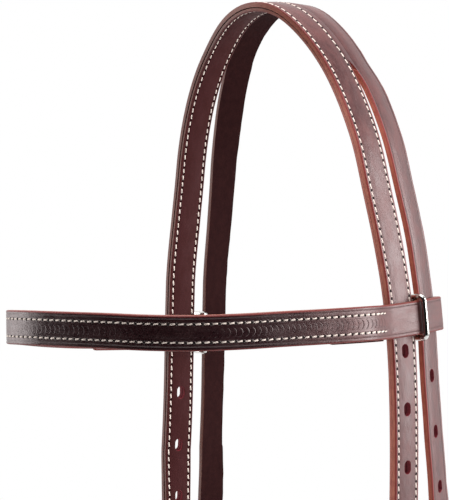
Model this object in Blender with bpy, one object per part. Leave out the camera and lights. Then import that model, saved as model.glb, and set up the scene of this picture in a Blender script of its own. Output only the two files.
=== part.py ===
"""Western headstall: crown with split tails, browband, cheek pieces and throatlatch.

The origin is the poll, under the middle of the crown. +Z is up and the horse faces -Y,
so +X is its near (left) side. Each strap is cut as a flat blank, punched, and then bent
along its route. A route is the line between a strap's two layers: one lies on its +out
side and the other on its -out side.
"""
import bmesh
import bpy
import numpy as np
from math import cos, pi, radians, sin

# Leather
STRAP_WIDTH = 0.0159
CROWN_LEATHER = 0.0026
CROWN_LINING = 0.0018
BAND_LEATHER = 0.0022
CHEEK_LEATHER = 0.0022
EDGE_EASE = 0.0005
LINING_INSET = 0.0003
PLY_GAP = 0.0003
CLEARANCE = 0.0003

# Crown: slope of its line, in degrees below level, by distance from the poll
ARCH_SLOPES = (
    (-0.265, -90), (-0.200, -94), (-0.150, -95), (-0.110, -84), (-0.080, -70),
    (-0.050, -48), (-0.025, -26), (0, 0), (0.025, 39), (0.050, 54), (0.080, 56),
    (0.110, 69), (0.150, 77), (0.200, 85), (0.265, 90))
# Front tails: how far back their middle lies, and how far their rear edge turns in
FRONT_SWAY = (
    (-0.265, -0.0123), (-0.180, -0.0059), (-0.120, 0.0041), (-0.060, 0.0069), (0, 0),
    (0.060, 0.0079), (0.120, 0.0034), (0.180, 0.0048), (0.265, 0.0036))
FRONT_TURN = ((-0.300, 0), (-0.265, 8), (-0.180, 6), (-0.120, 5), (0, 0),
              (0.120, 2), (0.265, 2), (0.300, 0))
# Throat tails: gap behind the front tails, and turn of their rear edge
TAIL_GAP = (
    (-0.250, 0.0076), (-0.180, 0.0074), (-0.105, 0.0052), (-0.075, 0.0030), (-0.050, 0),
    (0.050, 0), (0.065, 0.0026), (0.090, 0.0032), (0.140, 0.0042), (0.165, 0.0036),
    (0.200, 0.0036), (0.234, 0.0057), (0.260, 0.0088), (0.300, 0.0120))
TAIL_TURN = (
    (-0.300, 0), (-0.250, -18), (-0.200, -14), (-0.160, -11), (-0.125, -5), (-0.090, 3),
    (-0.045, 3), (0, 6), (0.030, 11), (0.090, 14), (0.175, 17), (0.260, 17), (0.300, 0))
SPLIT = 0.050
SLIT = 0.0004
NOTCH = 0.006
LEG_REACH = 0.600

# Punched holes and billet points
HOLE_LENGTH = 0.0064
HOLE_WIDTH = 0.0042
HOLE_PITCH = 0.0273
HOLE_COUNT = 7
NEAR_FIRST_HOLE = 0.1938
OFF_FIRST_HOLE = 0.2070
THROAT_FIRST_HOLE = 0.2080
HOLE_USED = 4
TIP_BEYOND_LAST_HOLE = 0.0350
TIP_LENGTH = 0.0130
TIP_SHARES = ((0, 1), (0.35, 0.93), (0.62, 0.78), (0.82, 0.55), (0.95, 0.28), (1, 0))

# Browband: the way its line goes round the forehead, from the near to the off side
NEAR_BAND_AT = 0.1792
OFF_BAND_AT = 0.2035
BAND_ROUTE = (
    (0.0972, -0.0335, -0.1405), (0.0947, -0.0556, -0.1396), (0.0898, -0.0769, -0.1390),
    (0.0840, -0.0974, -0.1387), (0.0739, -0.1156, -0.1387), (0.0583, -0.1293, -0.1390),
    (0.0390, -0.1379, -0.1397), (0.0186, -0.1440, -0.1410), (-0.0024, -0.1476, -0.1427),
    (-0.0226, -0.1456, -0.1452), (-0.0385, -0.1345, -0.1485), (-0.0530, -0.1180, -0.1530),
    (-0.0630, -0.0960, -0.1580), (-0.0672, -0.0720, -0.1620), (-0.0665, -0.0480, -0.1645))
BAND_RETURN = 0.0520
BAND_ROOM = 0.0006
BAND_SLACK = 0.0009
BAND_MERGE = 0.0080
BAND_SQUARE = 0.0600
BAND_HOLD = 0.0450
BAND_OVER_TAIL_SHARES = (0.55, 0.10)
RETURN_DROP = 0.0007

# Metal loops on the browband
LOOP_WIRE = 0.0027
LOOP_ROOM = 0.0004
LOOP_CORNER = 0.0022

# Buckles
BAR_RADIUS = 0.0016
FRAME_ROOM = 0.0005
FRAME_RUN = 0.0205
FRAME_HEEL_CORNER = 0.0019
FRAME_FRONT_CORNER = 0.0026
TONGUE_RADIUS = 0.00105
TONGUE_AT_HOLE = 0.0102
TONGUE_OVERHANG = 0.0032
TONGUE_LEAN = 0.48
TONGUE_TIP_SHARES = (1, 0.94, 0.78, 0.45)
EYE_TURN = 270
EYE_ROWS = 14
TONGUE_ROW = 4
SLOT_WIDTH = 0.0042
SLOT_BEYOND_BAR = 0.0065
FOLD_MERGE = 0.0100

# Cheek pieces
CHEEK_LENGTH = 0.2040
CHEEK_TOP_RETURN = 0.0580
CHEEK_BIT_RETURN = 0.0540
BIT_ROOM = 0.0062
BIT_MERGE = 0.0200
UPPER_SCREW_ABOVE_BIT = 0.0430
LOWER_SCREW_ABOVE_BIT = 0.0250

# Throatlatch
THROAT_LEAVES = 0.3000
THROAT_DROP = 0.4500
THROAT_RETURN = 0.0350

# Keepers
KEEPER_LEATHER = 0.0018
KEEPER_WIDTH = 0.0090
KEEPER_ROOM = 0.0004
KEEPER_CORNER = 0.0019
FIXED_KEEPER_AT = 0.0150
SLIDING_KEEPER_AT = 0.0600

# Bit-end screws
HEAD_RADIUS = 0.0048
HEAD_HEIGHT = 0.0013
POST_RADIUS = 0.0025
POST_BORE = 0.0020
POST_FLOOR = 0.0008
SHANK_RADIUS = 0.0016
SCREW_HOLE_RADIUS = 0.0029
HEAD_BITE = 0.0001
HEAD_DOME_SHARES = ((0, 1), (0.55, 0.94), (0.85, 0.70), (1, 0.35))

# Fineness of the curves
ARCH_REACH = 0.140
ARCH_STEP = 0.0085
LEG_STEP = 0.0240
BAND_STEP = 0.0085
ROW_GAP = 0.0003
FOLD_ROWS = 8
MERGE_ROWS = 3
TAIL_RUN = 0.0450
TAIL_RUN_ROWS = 12
TABLE_STEP = 0.0004
WIRE_SIDES = 8
CORNER_SIDES = 3
HOLE_SIDES = 8
LATHE_SIDES = 14
SHARP_ANGLE = 35

NEAR, OFF = 1, -1
HALF = STRAP_WIDTH / 2
PLY = PLY_GAP / 2
BAND_LIFT = CROWN_LEATHER + BAND_ROOM
BAND_FOLD = (CROWN_LEATHER + 2 * BAND_ROOM - 2 * PLY) / 2
BAND_UNDER = BAND_LIFT + CROWN_LINING + BAND_ROOM

OXBLOOD = (0.075, 0.022, 0.020)
STEEL = (0.620, 0.610, 0.590)


# Scene and materials

def clear_scene():
    for ob in list(bpy.data.objects):
        bpy.data.objects.remove(ob, do_unlink=True)


def principled(name, colour, roughness, metallic):
    material = bpy.data.materials.new(name)
    material.use_nodes = True
    shader = material.node_tree.nodes["Principled BSDF"]
    shader.inputs["Base Color"].default_value = (*colour, 1)
    shader.inputs["Roughness"].default_value = roughness
    shader.inputs["Metallic"].default_value = metallic
    return material


def leather(name):
    return principled(name, OXBLOOD, 0.45, 0)


def steel(name):
    return principled(name, STEEL, 0.22, 1)


def finish(name, bm, finish_of, origin=None):
    """Make the named object, with its origin at the given point."""
    bmesh.ops.remove_doubles(bm, verts=bm.verts, dist=PLY_GAP / 100)
    bmesh.ops.recalc_face_normals(bm, faces=bm.faces)
    mesh = bpy.data.meshes.new(name)
    if origin is not None:
        bmesh.ops.translate(bm, verts=bm.verts, vec=[-value for value in origin])
    bm.to_mesh(mesh)
    bm.free()
    mesh.shade_smooth()
    mesh.set_sharp_from_angle(angle=radians(SHARP_ANGLE))
    mesh.materials.append(finish_of(name))
    ob = bpy.data.objects.new(name, mesh)
    bpy.context.collection.objects.link(ob)
    if origin is not None:
        ob.location = origin
    return ob


# Curves and routes

def smooth(keys, values, at, tight=False):
    """Read a smooth curve through the values. A tight one never swings past them."""
    keys = np.asarray(keys, float)
    values = np.asarray(values, float)
    slopes = np.gradient(values, keys)
    if tight:
        rates = np.diff(values) / np.diff(keys)
        product = rates[1:] * rates[:-1]
        total = rates[1:] + rates[:-1]
        safe = np.where(product > 0, total, 1)
        slopes[1:-1] = np.where(product > 0, 2 * product / safe, 0)
    at = np.clip(at, keys[0], keys[-1])
    cell = np.clip(np.searchsorted(keys, at, "right") - 1, 0, len(keys) - 2)
    span = keys[cell + 1] - keys[cell]
    u = (at - keys[cell]) / span
    start, end = values[cell], values[cell + 1]
    lead, trail = slopes[cell] * span, slopes[cell + 1] * span
    return (start * (1 + 2 * u) * (1 - u) ** 2 + lead * u * (1 - u) ** 2
            + end * (3 - 2 * u) * u ** 2 + trail * (u - 1) * u ** 2)


def read(table, at):
    keys, values = zip(*table)
    return smooth(keys, values, at, tight=True)


def eased(share):
    """Falls smoothly from 1 to 0 as the share grows from 0 to 1."""
    share = np.clip(share, 0, 1)
    return (1 - share) ** 2 * (1 + 2 * share)


def through(points):
    """A fine, smooth line through the points."""
    points = np.asarray(points, float)
    keys = np.concatenate([[0], np.cumsum(np.linalg.norm(np.diff(points, axis=0), axis=1))])
    at = np.linspace(0, keys[-1], int(keys[-1] / TABLE_STEP))
    return np.stack([smooth(keys, column, at) for column in points.T], 1)


def unit(vectors):
    return vectors / np.linalg.norm(vectors, axis=-1, keepdims=True)


class Route:
    """A line in space with the across and out directions of the strap on it."""

    def __init__(self, line, across, along=None):
        steps = np.linalg.norm(np.diff(line, axis=0), axis=1)
        measured = np.concatenate([[0], np.cumsum(steps)])
        self.along = measured if along is None else along
        self.line = line
        self.ahead = unit(np.gradient(line, self.along, axis=0))
        lean = np.sum(across * self.ahead, axis=1, keepdims=True)
        self.across = unit(across - lean * self.ahead)
        self.out = np.cross(self.ahead, self.across)
        self.length = self.along[-1] - self.along[0]

    def read(self, rows, at):
        return np.stack([np.interp(at, self.along, column) for column in rows.T], -1)

    def nearest(self, point, first=0, last=1):
        """The distance along to the step nearest the point, between two shares of the way."""
        share = (self.along - self.along[0]) / self.length
        gaps = np.linalg.norm(self.line - point, axis=1)
        gaps[(share < first) | (share > last)] = np.inf
        return self.along[np.argmin(gaps)]

    def place(self, at, across, out):
        at, across, out = np.broadcast_arrays(at, across, out)
        return (self.read(self.line, at) + across[..., None] * self.read(self.across, at)
                + out[..., None] * self.read(self.out, at))


# Leather blanks

def tip(end, middle, half, way):
    """A billet's rounded point, from its rear edge round to its front edge."""
    base = end - way * TIP_LENGTH
    rear = [(base + way * TIP_LENGTH * a, middle + half * b) for a, b in TIP_SHARES]
    front = [(at, 2 * middle - across) for at, across in reversed(rear[:-1])]
    return rear + front


def blank(outline, low, high, notches=()):
    """A flat blank between two levels. Its outer face's edges are eased, but not a notch's."""
    bm = bmesh.new()
    face = bm.faces.new([bm.verts.new((at, across, low)) for at, across in outline])
    grown = bmesh.ops.extrude_face_region(bm, geom=[face])
    top = [item for item in grown["geom"] if isinstance(item, bmesh.types.BMVert)]
    bmesh.ops.translate(bm, verts=top, vec=(0, 0, high - low))
    bmesh.ops.recalc_face_normals(bm, faces=bm.faces)
    outer = max(low, high, key=abs)
    edges = []
    for edge in bm.edges:
        level = all(abs(vert.co.z - outer) < PLY for vert in edge.verts)
        notched = any(abs(vert.co.x - at) < PLY and abs(vert.co.y - across) < PLY / 10
                      for vert in edge.verts for at, across in notches)
        if level and not notched:
            edges.append(edge)
    bmesh.ops.bevel(bm, geom=edges, offset=EDGE_EASE, offset_type="OFFSET", segments=1,
                    profile=0.5, affect="EDGES", material=-1)
    return bm


def strip(first, last, half, low, high):
    return blank([(first, -half), (last, -half), (last, half), (first, half)], low, high)


def spaced(first, last, step):
    return list(np.linspace(first, last, max(int(round(abs(last - first) / step)), 1) + 1))


def fold_rows(at, radius, reach, rows):
    """Stations round a fold, and out over the runs on both sides of it."""
    half_turn = radius * pi / 2
    turn = list(np.linspace(at - half_turn, at + half_turn, FOLD_ROWS + 1))
    runs = [half_turn + reach * (index + 1) / rows for index in range(rows)]
    return turn + [at - run for run in runs] + [at + run for run in runs]


def score(bm, stations, seam=None):
    """Cut the blank across at each station, and along the seam, so that it can bend."""
    cuts = []
    for at in sorted(stations):
        if not cuts or at > cuts[-1][0][0] + ROW_GAP:
            cuts.append(((at, 0, 0), (1, 0, 0)))
    if seam is not None:
        cuts.append(((0, seam, 0), (0, 1, 0)))
    for point, normal in cuts:
        geom = bm.verts[:] + bm.edges[:] + bm.faces[:]
        bmesh.ops.bisect_plane(bm, geom=geom, dist=PLY / 10, plane_co=point, plane_no=normal)


def oblong(length, width):
    """An oblong hole's outline about its middle, with round ends."""
    angles = [pi * index / (HOLE_SIDES - 1) - pi / 2 for index in range(HOLE_SIDES)]
    shift = (length - width) / 2
    end = [(shift + width / 2 * cos(a), width / 2 * sin(a)) for a in angles]
    return end + [(-at, -across) for at, across in end]


def punch(bm, holes):
    """Punch the (at, across, length, width) holes through the flat blank."""
    cutter = bmesh.new()
    for at, across, length, width in holes:
        ring = [cutter.verts.new((at + a, across + b, -STRAP_WIDTH))
                for a, b in oblong(length, width)]
        grown = bmesh.ops.extrude_face_region(cutter, geom=[cutter.faces.new(ring)])
        top = [item for item in grown["geom"] if isinstance(item, bmesh.types.BMVert)]
        bmesh.ops.translate(cutter, verts=top, vec=(0, 0, 2 * STRAP_WIDTH))
    bmesh.ops.recalc_face_normals(cutter, faces=cutter.faces)
    pieces = []
    for shape in (bm, cutter):
        mesh = bpy.data.meshes.new("blank")
        shape.to_mesh(mesh)
        shape.free()
        piece = bpy.data.objects.new("blank", mesh)
        bpy.context.collection.objects.link(piece)
        pieces.append(piece)
    cut = pieces[0].modifiers.new("punch", "BOOLEAN")
    cut.operation = "DIFFERENCE"
    cut.solver = "EXACT"
    cut.object = pieces[1]
    bpy.context.view_layer.update()
    evaluated = pieces[0].evaluated_get(bpy.context.evaluated_depsgraph_get())
    punched = bmesh.new()
    punched.from_mesh(evaluated.to_mesh())
    for piece in pieces:
        bpy.data.objects.remove(piece, do_unlink=True)
    return punched


def bend(bm, place):
    """Lay the flat blank along its route."""
    bmesh.ops.triangulate(bm, faces=bm.faces)
    flat = np.array([vert.co[:] for vert in bm.verts])
    for vert, point in zip(bm.verts, place(flat[:, 0], flat[:, 1], flat[:, 2])):
        vert.co = point
    return bm


# Metal and keepers

def loft(rings, closed):
    """Skin the rings of points in turn, with flat caps unless they close on themselves."""
    bm = bmesh.new()
    loops = [[bm.verts.new(point) for point in ring] for ring in rings]
    pairs = list(zip(loops, loops[1:]))
    if closed:
        pairs.append((loops[-1], loops[0]))
    for first, second in pairs:
        for index in range(len(first)):
            after = (index + 1) % len(first)
            bm.faces.new((first[index], first[after], second[after], second[index]))
    if not closed:
        bm.faces.new(loops[0])
        bm.faces.new(loops[-1])
    return bm


def rounded_box(half_long, half_wide, front_corner, heel_corner):
    """Points and outward directions round a box, its front end at +half_long."""
    outline = []
    for corner in range(4):
        long_sign = 1 if corner in (0, 3) else -1
        wide_sign = 1 if corner < 2 else -1
        radius = front_corner if long_sign > 0 else heel_corner
        middle = (long_sign * (half_long - radius), wide_sign * (half_wide - radius))
        for index in range(CORNER_SIDES + 1):
            angle = pi / 2 * (corner + index / CORNER_SIDES)
            normal = (cos(angle), sin(angle))
            point = (middle[0] + radius * normal[0], middle[1] + radius * normal[1])
            outline.append((point, normal))
    return outline


def ring_body(middle, long_way, wide_way, outline, section):
    """Sweep a section of (outward, sideways) points round an outline."""
    side_way = np.cross(long_way, wide_way)
    rings = []
    for point, normal in outline:
        spot = middle + point[0] * long_way + point[1] * wide_way
        outward = normal[0] * long_way + normal[1] * wide_way
        rings.append([spot + o * outward + s * side_way for o, s in section])
    return loft(rings, True)


def round_section(radius):
    angles = [2 * pi * (index + 0.5) / WIRE_SIDES for index in range(WIRE_SIDES)]
    return [(radius * cos(a), radius * sin(a)) for a in angles]


def flat_section(thick, wide):
    return [(thick / 2, -wide / 2), (thick / 2, wide / 2),
            (-thick / 2, wide / 2), (-thick / 2, -wide / 2)]


def lathe(profile, spot, out):
    """Turn the (radius, height) profile about the out direction at the spot."""
    side = unit(np.cross(out, [0, 0, 1.0]))
    bm = bmesh.new()
    verts = [bm.verts.new(spot + radius * side + height * out) for radius, height in profile]
    edges = [bm.edges.new(pair) for pair in zip(verts, verts[1:])]
    bmesh.ops.spin(bm, geom=verts + edges, cent=spot, axis=out, angle=2 * pi,
                   steps=LATHE_SIDES, use_merge=True)
    return bm


# Where a billet meets a buckle

class Buckling:
    """A buckle's bar behind a billet, with places given from the bar's middle."""

    def __init__(self, route, side, first_hole, middle, billet_back, strap):
        self.at = first_hole + HOLE_USED * HOLE_PITCH + TONGUE_AT_HOLE
        self.route, self.side, self.middle, self.strap = route, side, middle, strap
        self.radius = BAR_RADIUS + CLEARANCE - PLY
        self.depth = billet_back - CLEARANCE - strap - PLY - self.radius
        self.back = billet_back - self.depth
        self.face = PLY + CROWN_LEATHER - self.depth
        self.front_bar = self.face + CLEARANCE + BAR_RADIUS

    def place(self, down, across, out):
        """A point by its distance below the bar, across it, and out from it."""
        return self.route.place(self.side * (self.at + np.asarray(down, float)),
                                self.middle + across, self.depth + np.asarray(out, float))

    def way(self, down, across, out):
        far = self.place(down * TABLE_STEP, across * TABLE_STEP, out * TABLE_STEP)
        return unit(far - self.place(0, 0, 0))


def wrapped(radius, merge, inner_reach, outer_reach):
    """(down, out) points up a fold's inner run, over its bar and down its outer run."""
    inner = np.arange(inner_reach, 0, -TABLE_STEP)
    outer = np.arange(0, outer_reach, TABLE_STEP)
    turn = np.linspace(-pi / 2, pi / 2, 2 + int(pi * radius / TABLE_STEP))[:-1]
    downs = np.concatenate([inner, -radius * np.cos(turn), outer])
    outs = np.concatenate([-radius * eased(inner / merge), radius * np.sin(turn),
                           radius * eased(outer / merge)])
    return downs, outs


# Routes

def turned(across, out, degrees):
    """Turn the across direction inwards by the angle at each step."""
    angle = np.radians(degrees)[:, None]
    return np.cos(angle) * across - np.sin(angle) * out


def front_route():
    """The middle of the crown's front half, from the off tail's end to the near one's."""
    at = np.arange(-LEG_REACH, LEG_REACH, TABLE_STEP)
    slope = np.radians(read(ARCH_SLOPES, at))
    ahead = np.stack([np.cos(slope), 0 * at, -np.sin(slope)], 1)
    steps = (ahead[1:] + ahead[:-1]) / 2 * TABLE_STEP
    line = np.concatenate([np.zeros((1, 3)), np.cumsum(steps, axis=0)])
    line -= line[np.argmin(np.abs(at))]
    line[:, 1] = read(FRONT_SWAY, at) - HALF
    line[:, 2] += PLY + CROWN_LINING
    level = Route(line, np.tile([0, 1.0, 0], (len(at), 1)), at)
    return Route(line, turned(level.across, level.out, read(FRONT_TURN, at)), at)


def tail_route(front):
    """The front edge of the crown's rear half and of the throat tails."""
    at = front.along
    line = front.line + (HALF + read(TAIL_GAP, at))[:, None] * front.across
    return Route(line, turned(front.across, front.out, read(TAIL_TURN, at)), at)


def throat_route(tails, buckling):
    """The strap's front edge from the near buckle, under the jaw, to the off throat tail."""
    off_end = tails.place(-THROAT_LEAVES, 0, 0)
    downs, outs = wrapped(buckling.radius, FOLD_MERGE, THROAT_RETURN, FOLD_MERGE)
    near = buckling.place(downs, -HALF, outs)
    span = (near[-1][0] - off_end[0]) / 2
    low = span - THROAT_DROP
    down = np.arange(near[-1][2] - TABLE_STEP, low, -TABLE_STEP)
    turn = np.arange(0, pi, TABLE_STEP / span)[1:]
    up = np.arange(low, off_end[2], TABLE_STEP)[1:]
    y = near[-1][1] + (off_end[1] - near[-1][1]) * (1 - np.cos(turn)) / 2
    line = np.concatenate([
        near,
        np.stack([0 * down + near[-1][0], 0 * down + near[-1][1], down], 1),
        np.stack([off_end[0] + span * (1 + np.cos(turn)), y, low - span * np.sin(turn)], 1),
        np.stack([0 * up + off_end[0], 0 * up + off_end[1], up], 1), [off_end]])
    route = Route(line, np.tile([0, 1.0, 0], (len(line), 1)))
    route.along -= THROAT_LEAVES + route.length
    return route


def cheek_route(buckling):
    """From the top fold's inner end over the bar, down, round the bit and up again."""
    downs, outs = wrapped(buckling.radius, FOLD_MERGE, CHEEK_TOP_RETURN, CHEEK_LENGTH / 2)
    bit = wrapped(BIT_ROOM - PLY, BIT_MERGE, CHEEK_LENGTH / 2, CHEEK_BIT_RETURN)
    downs = np.concatenate([downs, CHEEK_LENGTH - bit[0][1:]])
    outs = np.concatenate([outs, -bit[1][1:]])
    line = buckling.place(downs, 0, outs)
    return Route(line, np.tile(buckling.side * buckling.way(0, 1, 0), (len(line), 1)))


def over_tails(front, tails, at):
    """Points of the browband's line over a throat tail and then a front tail."""
    rear = [tails.place(at, STRAP_WIDTH + BAND_SLACK, BAND_LIFT)]
    rear += [tails.place(at, share * STRAP_WIDTH, BAND_LIFT) for share in BAND_OVER_TAIL_SHARES]
    return rear + [front.place(at, across, BAND_LIFT) for across in (HALF + BAND_ROOM, 0, -HALF)]


def band_return(line, across, out, reach, tail):
    """The half turn round a throat tail and the run back under both tails."""
    keep = reach < tail + BAND_RETURN
    depth = read(((0, 2 * BAND_FOLD), (HALF / 2, 2 * BAND_FOLD),
                  (tail - HALF - BAND_ROOM, BAND_UNDER), (tail + HALF, BAND_UNDER),
                  (tail + HALF + BAND_MERGE, 0)), reach[keep])[:, None]
    drop = read(((tail - HALF, 0), (tail + HALF + BAND_MERGE, RETURN_DROP)), reach[keep])
    run = line[keep] - depth * out[keep] + drop[:, None] * across[keep]
    middle = line[0] - BAND_FOLD * out[0]
    turn = np.linspace(0, pi, int(pi * BAND_FOLD / TABLE_STEP))[1:-1, None]
    fold = middle + BAND_FOLD * (np.sin(turn) * unit(line[0] - line[1]) + np.cos(turn) * out[0])
    ways = np.concatenate([np.tile(across[0], (len(turn), 1)), across[keep]])
    return np.concatenate([fold, run]), ways


class Band:
    """The browband's outer run, and its whole route with the returns at both ends."""

    def __init__(self, front, tails):
        near = over_tails(front, tails, NEAR_BAND_AT)
        off = over_tails(front, tails, -OFF_BAND_AT)
        line = through(near + list(BAND_ROUTE) + off[::-1])
        level = Route(line, np.tile([0, 0, -1.0], (len(line), 1)))
        near_share = eased((level.along - BAND_HOLD) / BAND_SQUARE)[:, None]
        off_share = eased((level.length - level.along - BAND_HOLD) / BAND_SQUARE)[:, None]
        down = (near_share * front.read(front.ahead, NEAR_BAND_AT)
                - off_share * front.read(front.ahead, -OFF_BAND_AT)
                + (1 - near_share - off_share) * [0, 0, -1.0])
        self.main = main = Route(line, down)
        self.near_tail = main.nearest(near[-2], 0, 0.5)
        self.off_tail = main.nearest(off[-2], 0.5, 1)
        near_rows, near_ways = band_return(
            main.line, main.across, main.out, main.along, self.near_tail)
        off_rows, off_ways = band_return(
            main.line[::-1], main.across[::-1], main.out[::-1],
            (main.length - main.along)[::-1], main.length - self.off_tail)
        self.route = Route(np.concatenate([near_rows[::-1], main.line, off_rows]),
                           np.concatenate([near_ways[::-1], main.across, off_ways]))
        half_turn = BAND_FOLD * pi / 2
        self.start = self.route.nearest(main.line[0], 0, 0.5)
        self.folds = (self.start - half_turn,
                      self.route.nearest(main.line[-1], 0.5, 1) + half_turn)

    def rows(self):
        """Stations along the whole route, close together near the tails and round the folds."""
        beyond = BAND_FOLD * pi / 2 + TAIL_RUN
        rows = [at for at in spaced(0, self.route.length, BAND_STEP)[1:-1]
                if all(abs(at - fold) > beyond for fold in self.folds)]
        for fold in self.folds:
            rows += fold_rows(fold, BAND_FOLD, TAIL_RUN, TAIL_RUN_ROWS)
        return rows


# Crown and browband

def billet_holes(side, first, across):
    return [(side * (first + index * HOLE_PITCH), across, HOLE_LENGTH, HOLE_WIDTH)
            for index in range(HOLE_COUNT)]


def billet_end(first_hole):
    return first_hole + (HOLE_COUNT - 1) * HOLE_PITCH + TIP_BEYOND_LAST_HOLE


def fold_slot(at, radius, across):
    """The slot that lets the tongue's eye through a fold."""
    return at, across, 2 * (radius * pi / 2 + SLOT_BEYOND_BAR), SLOT_WIDTH


def leg_rows(first, last):
    """Stations over the arch and the legs between two distances."""
    legs = np.arange(ARCH_REACH + LEG_STEP, LEG_REACH, LEG_STEP)
    stations = spaced(-ARCH_REACH, ARCH_REACH, ARCH_STEP) + list(-legs) + list(legs)
    return [at for at in stations if first < at < last]


def crown(front, tails, throat, buckling):
    """The crown with its two front tails, the near throat tail and the long off one."""
    start = throat.along[0]
    half = HALF - SLIT / 4
    slit_front, slit_rear = HALF - SLIT / 2, HALF + SLIT / 2
    outline = [(SPLIT, HALF), (SPLIT + NOTCH, slit_front)]
    outline += tip(billet_end(NEAR_FIRST_HOLE), -SLIT / 4, half, NEAR)
    outline += reversed(tip(-billet_end(OFF_FIRST_HOLE), -SLIT / 4, half, OFF))
    outline += [(-SPLIT - NOTCH, slit_front), (-SPLIT, HALF), (-SPLIT - NOTCH, slit_rear)]
    outline += [(start, slit_rear), (start, 3 * HALF)]
    outline += tip(billet_end(THROAT_FIRST_HOLE), 2 * HALF + SLIT / 4, half, NEAR)
    outline += [(SPLIT + NOTCH, slit_rear)]
    bm = blank(outline, PLY, PLY + CROWN_LEATHER, ((SPLIT, HALF), (-SPLIT, HALF)))
    fold = throat.nearest(buckling.place(-buckling.radius, -HALF, 0), 0, 0.5)
    stations = leg_rows(-THROAT_LEAVES, billet_end(THROAT_FIRST_HOLE))
    stations += spaced(fold + THROAT_RETURN, -THROAT_LEAVES, ARCH_STEP)
    stations += fold_rows(fold, buckling.radius, FOLD_MERGE, MERGE_ROWS)
    score(bm, stations, HALF)
    bm = punch(bm, billet_holes(NEAR, NEAR_FIRST_HOLE, 0)
               + billet_holes(OFF, OFF_FIRST_HOLE, 0)
               + billet_holes(NEAR, THROAT_FIRST_HOLE, 2 * HALF)
               + [fold_slot(fold, buckling.radius, 2 * HALF)])

    def place(at, across, out):
        rear = np.where((at < -THROAT_LEAVES)[:, None], throat.place(at, across - HALF, out),
                        tails.place(at, across - HALF, out))
        return np.where((across > HALF + PLY / 10)[:, None], rear,
                        front.place(at, across, out))

    finish("crown", bend(bm, place), leather)


def crown_lining(front):
    """The lining under the crown's front half, from tip to tip."""
    near_end = billet_end(NEAR_FIRST_HOLE) - LINING_INSET
    off_end = -billet_end(OFF_FIRST_HOLE) + LINING_INSET
    outline = tip(near_end, 0, HALF - LINING_INSET, NEAR)
    outline += reversed(tip(off_end, 0, HALF - LINING_INSET, OFF))
    bm = blank(outline, -PLY - CROWN_LINING, -PLY)
    score(bm, leg_rows(off_end, near_end))
    bm = punch(bm, billet_holes(NEAR, NEAR_FIRST_HOLE, 0)
               + billet_holes(OFF, OFF_FIRST_HOLE, 0))
    finish("crown_lining", bend(bm, front.place), leather)


def browband(band):
    bm = strip(0, band.route.length, HALF, PLY, PLY + BAND_LEATHER)
    score(bm, band.rows())
    finish("browband", bend(bm, band.route.place), leather)


def browband_lining(band):
    first = band.near_tail + BAND_RETURN + PLY_GAP
    last = band.off_tail - BAND_RETURN - PLY_GAP
    bm = strip(first, last, HALF - LINING_INSET, -PLY - BAND_LEATHER, -PLY)
    score(bm, [at - band.start for at in band.rows() if first < at - band.start < last])
    finish("browband_lining", bend(bm, band.main.place), leather)


def browband_loop(name, tails, band, at):
    """A metal loop round both runs of the browband, between the two tails."""
    gap = read(TAIL_GAP, at)
    spot = tails.place(at, -gap / 2, 0)
    along = band.main.nearest(spot, *((0, 0.5) if at > 0 else (0.5, 1)))
    top = PLY + BAND_LEATHER + LOOP_ROOM + LOOP_WIRE / 2
    half_deep = top + BAND_UNDER / 2
    half_wide = HALF + LOOP_ROOM + LOOP_WIRE / 2
    middle = band.main.place(along, 0, top - half_deep)
    down = band.main.read(band.main.across, along)
    out = band.main.read(band.main.out, along)
    outline = rounded_box(half_wide, half_deep, LOOP_CORNER, LOOP_CORNER)
    body = ring_body(middle, down, out, outline, round_section(LOOP_WIRE / 2))
    finish(name, body, steel, middle)


# Cheek pieces

def cheek(name, buckling):
    """A cheek piece folded over its buckle's bar and round the bit."""
    route = cheek_route(buckling)
    top = route.nearest(buckling.place(-buckling.radius, 0, 0))
    bit = route.nearest(buckling.place(CHEEK_LENGTH + BIT_ROOM, 0, 0))
    hole = (2 * SCREW_HOLE_RADIUS + PLY_GAP, 2 * SCREW_HOLE_RADIUS)
    holes = [fold_slot(top, buckling.radius, 0)]
    for above in (UPPER_SCREW_ABOVE_BIT, LOWER_SCREW_ABOVE_BIT):
        spot = buckling.place(CHEEK_LENGTH - above, 0, 0)
        holes.append((route.nearest(spot, 0, bit / route.length), 0, *hole))
        holes.append((route.nearest(spot, bit / route.length, 1), 0, *hole))
    bm = strip(0, route.length, HALF, PLY, PLY + CHEEK_LEATHER)
    clear_of_heads = [
        route.nearest(buckling.place(CHEEK_LENGTH - rim - clear, 0, 0), top / route.length,
                      bit / route.length)
        for rim, way in ((UPPER_SCREW_ABOVE_BIT - HEAD_RADIUS, -1),
                         (LOWER_SCREW_ABOVE_BIT + HEAD_RADIUS, 1))
        for clear in (way * CLEARANCE, way * 3 * CLEARANCE)]
    score(bm, fold_rows(top, buckling.radius, FOLD_MERGE, MERGE_ROWS)
          + fold_rows(bit, BIT_ROOM, BIT_MERGE, 2 * MERGE_ROWS) + clear_of_heads)
    bm = punch(bm, holes)
    for vert in bm.verts:
        under_head = any(np.hypot(vert.co.x - at, vert.co.y) < HEAD_RADIUS
                         for at, _, _, _ in holes[1:])
        if under_head and vert.co.z > CHEEK_LEATHER:
            vert.co.z -= HEAD_BITE
    finish(name, bend(bm, route.place), leather)
    lining_from = CHEEK_TOP_RETURN + PLY_GAP
    lining_to = CHEEK_LENGTH - CHEEK_BIT_RETURN - PLY_GAP
    first, last = (route.nearest(buckling.place(down, 0, 0), top / route.length,
                                 bit / route.length) for down in (lining_from, lining_to))
    bm = strip(first, last, HALF - LINING_INSET, -PLY - CHEEK_LEATHER, -PLY)
    finish(name + "_lining", bend(bm, route.place), leather)


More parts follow.
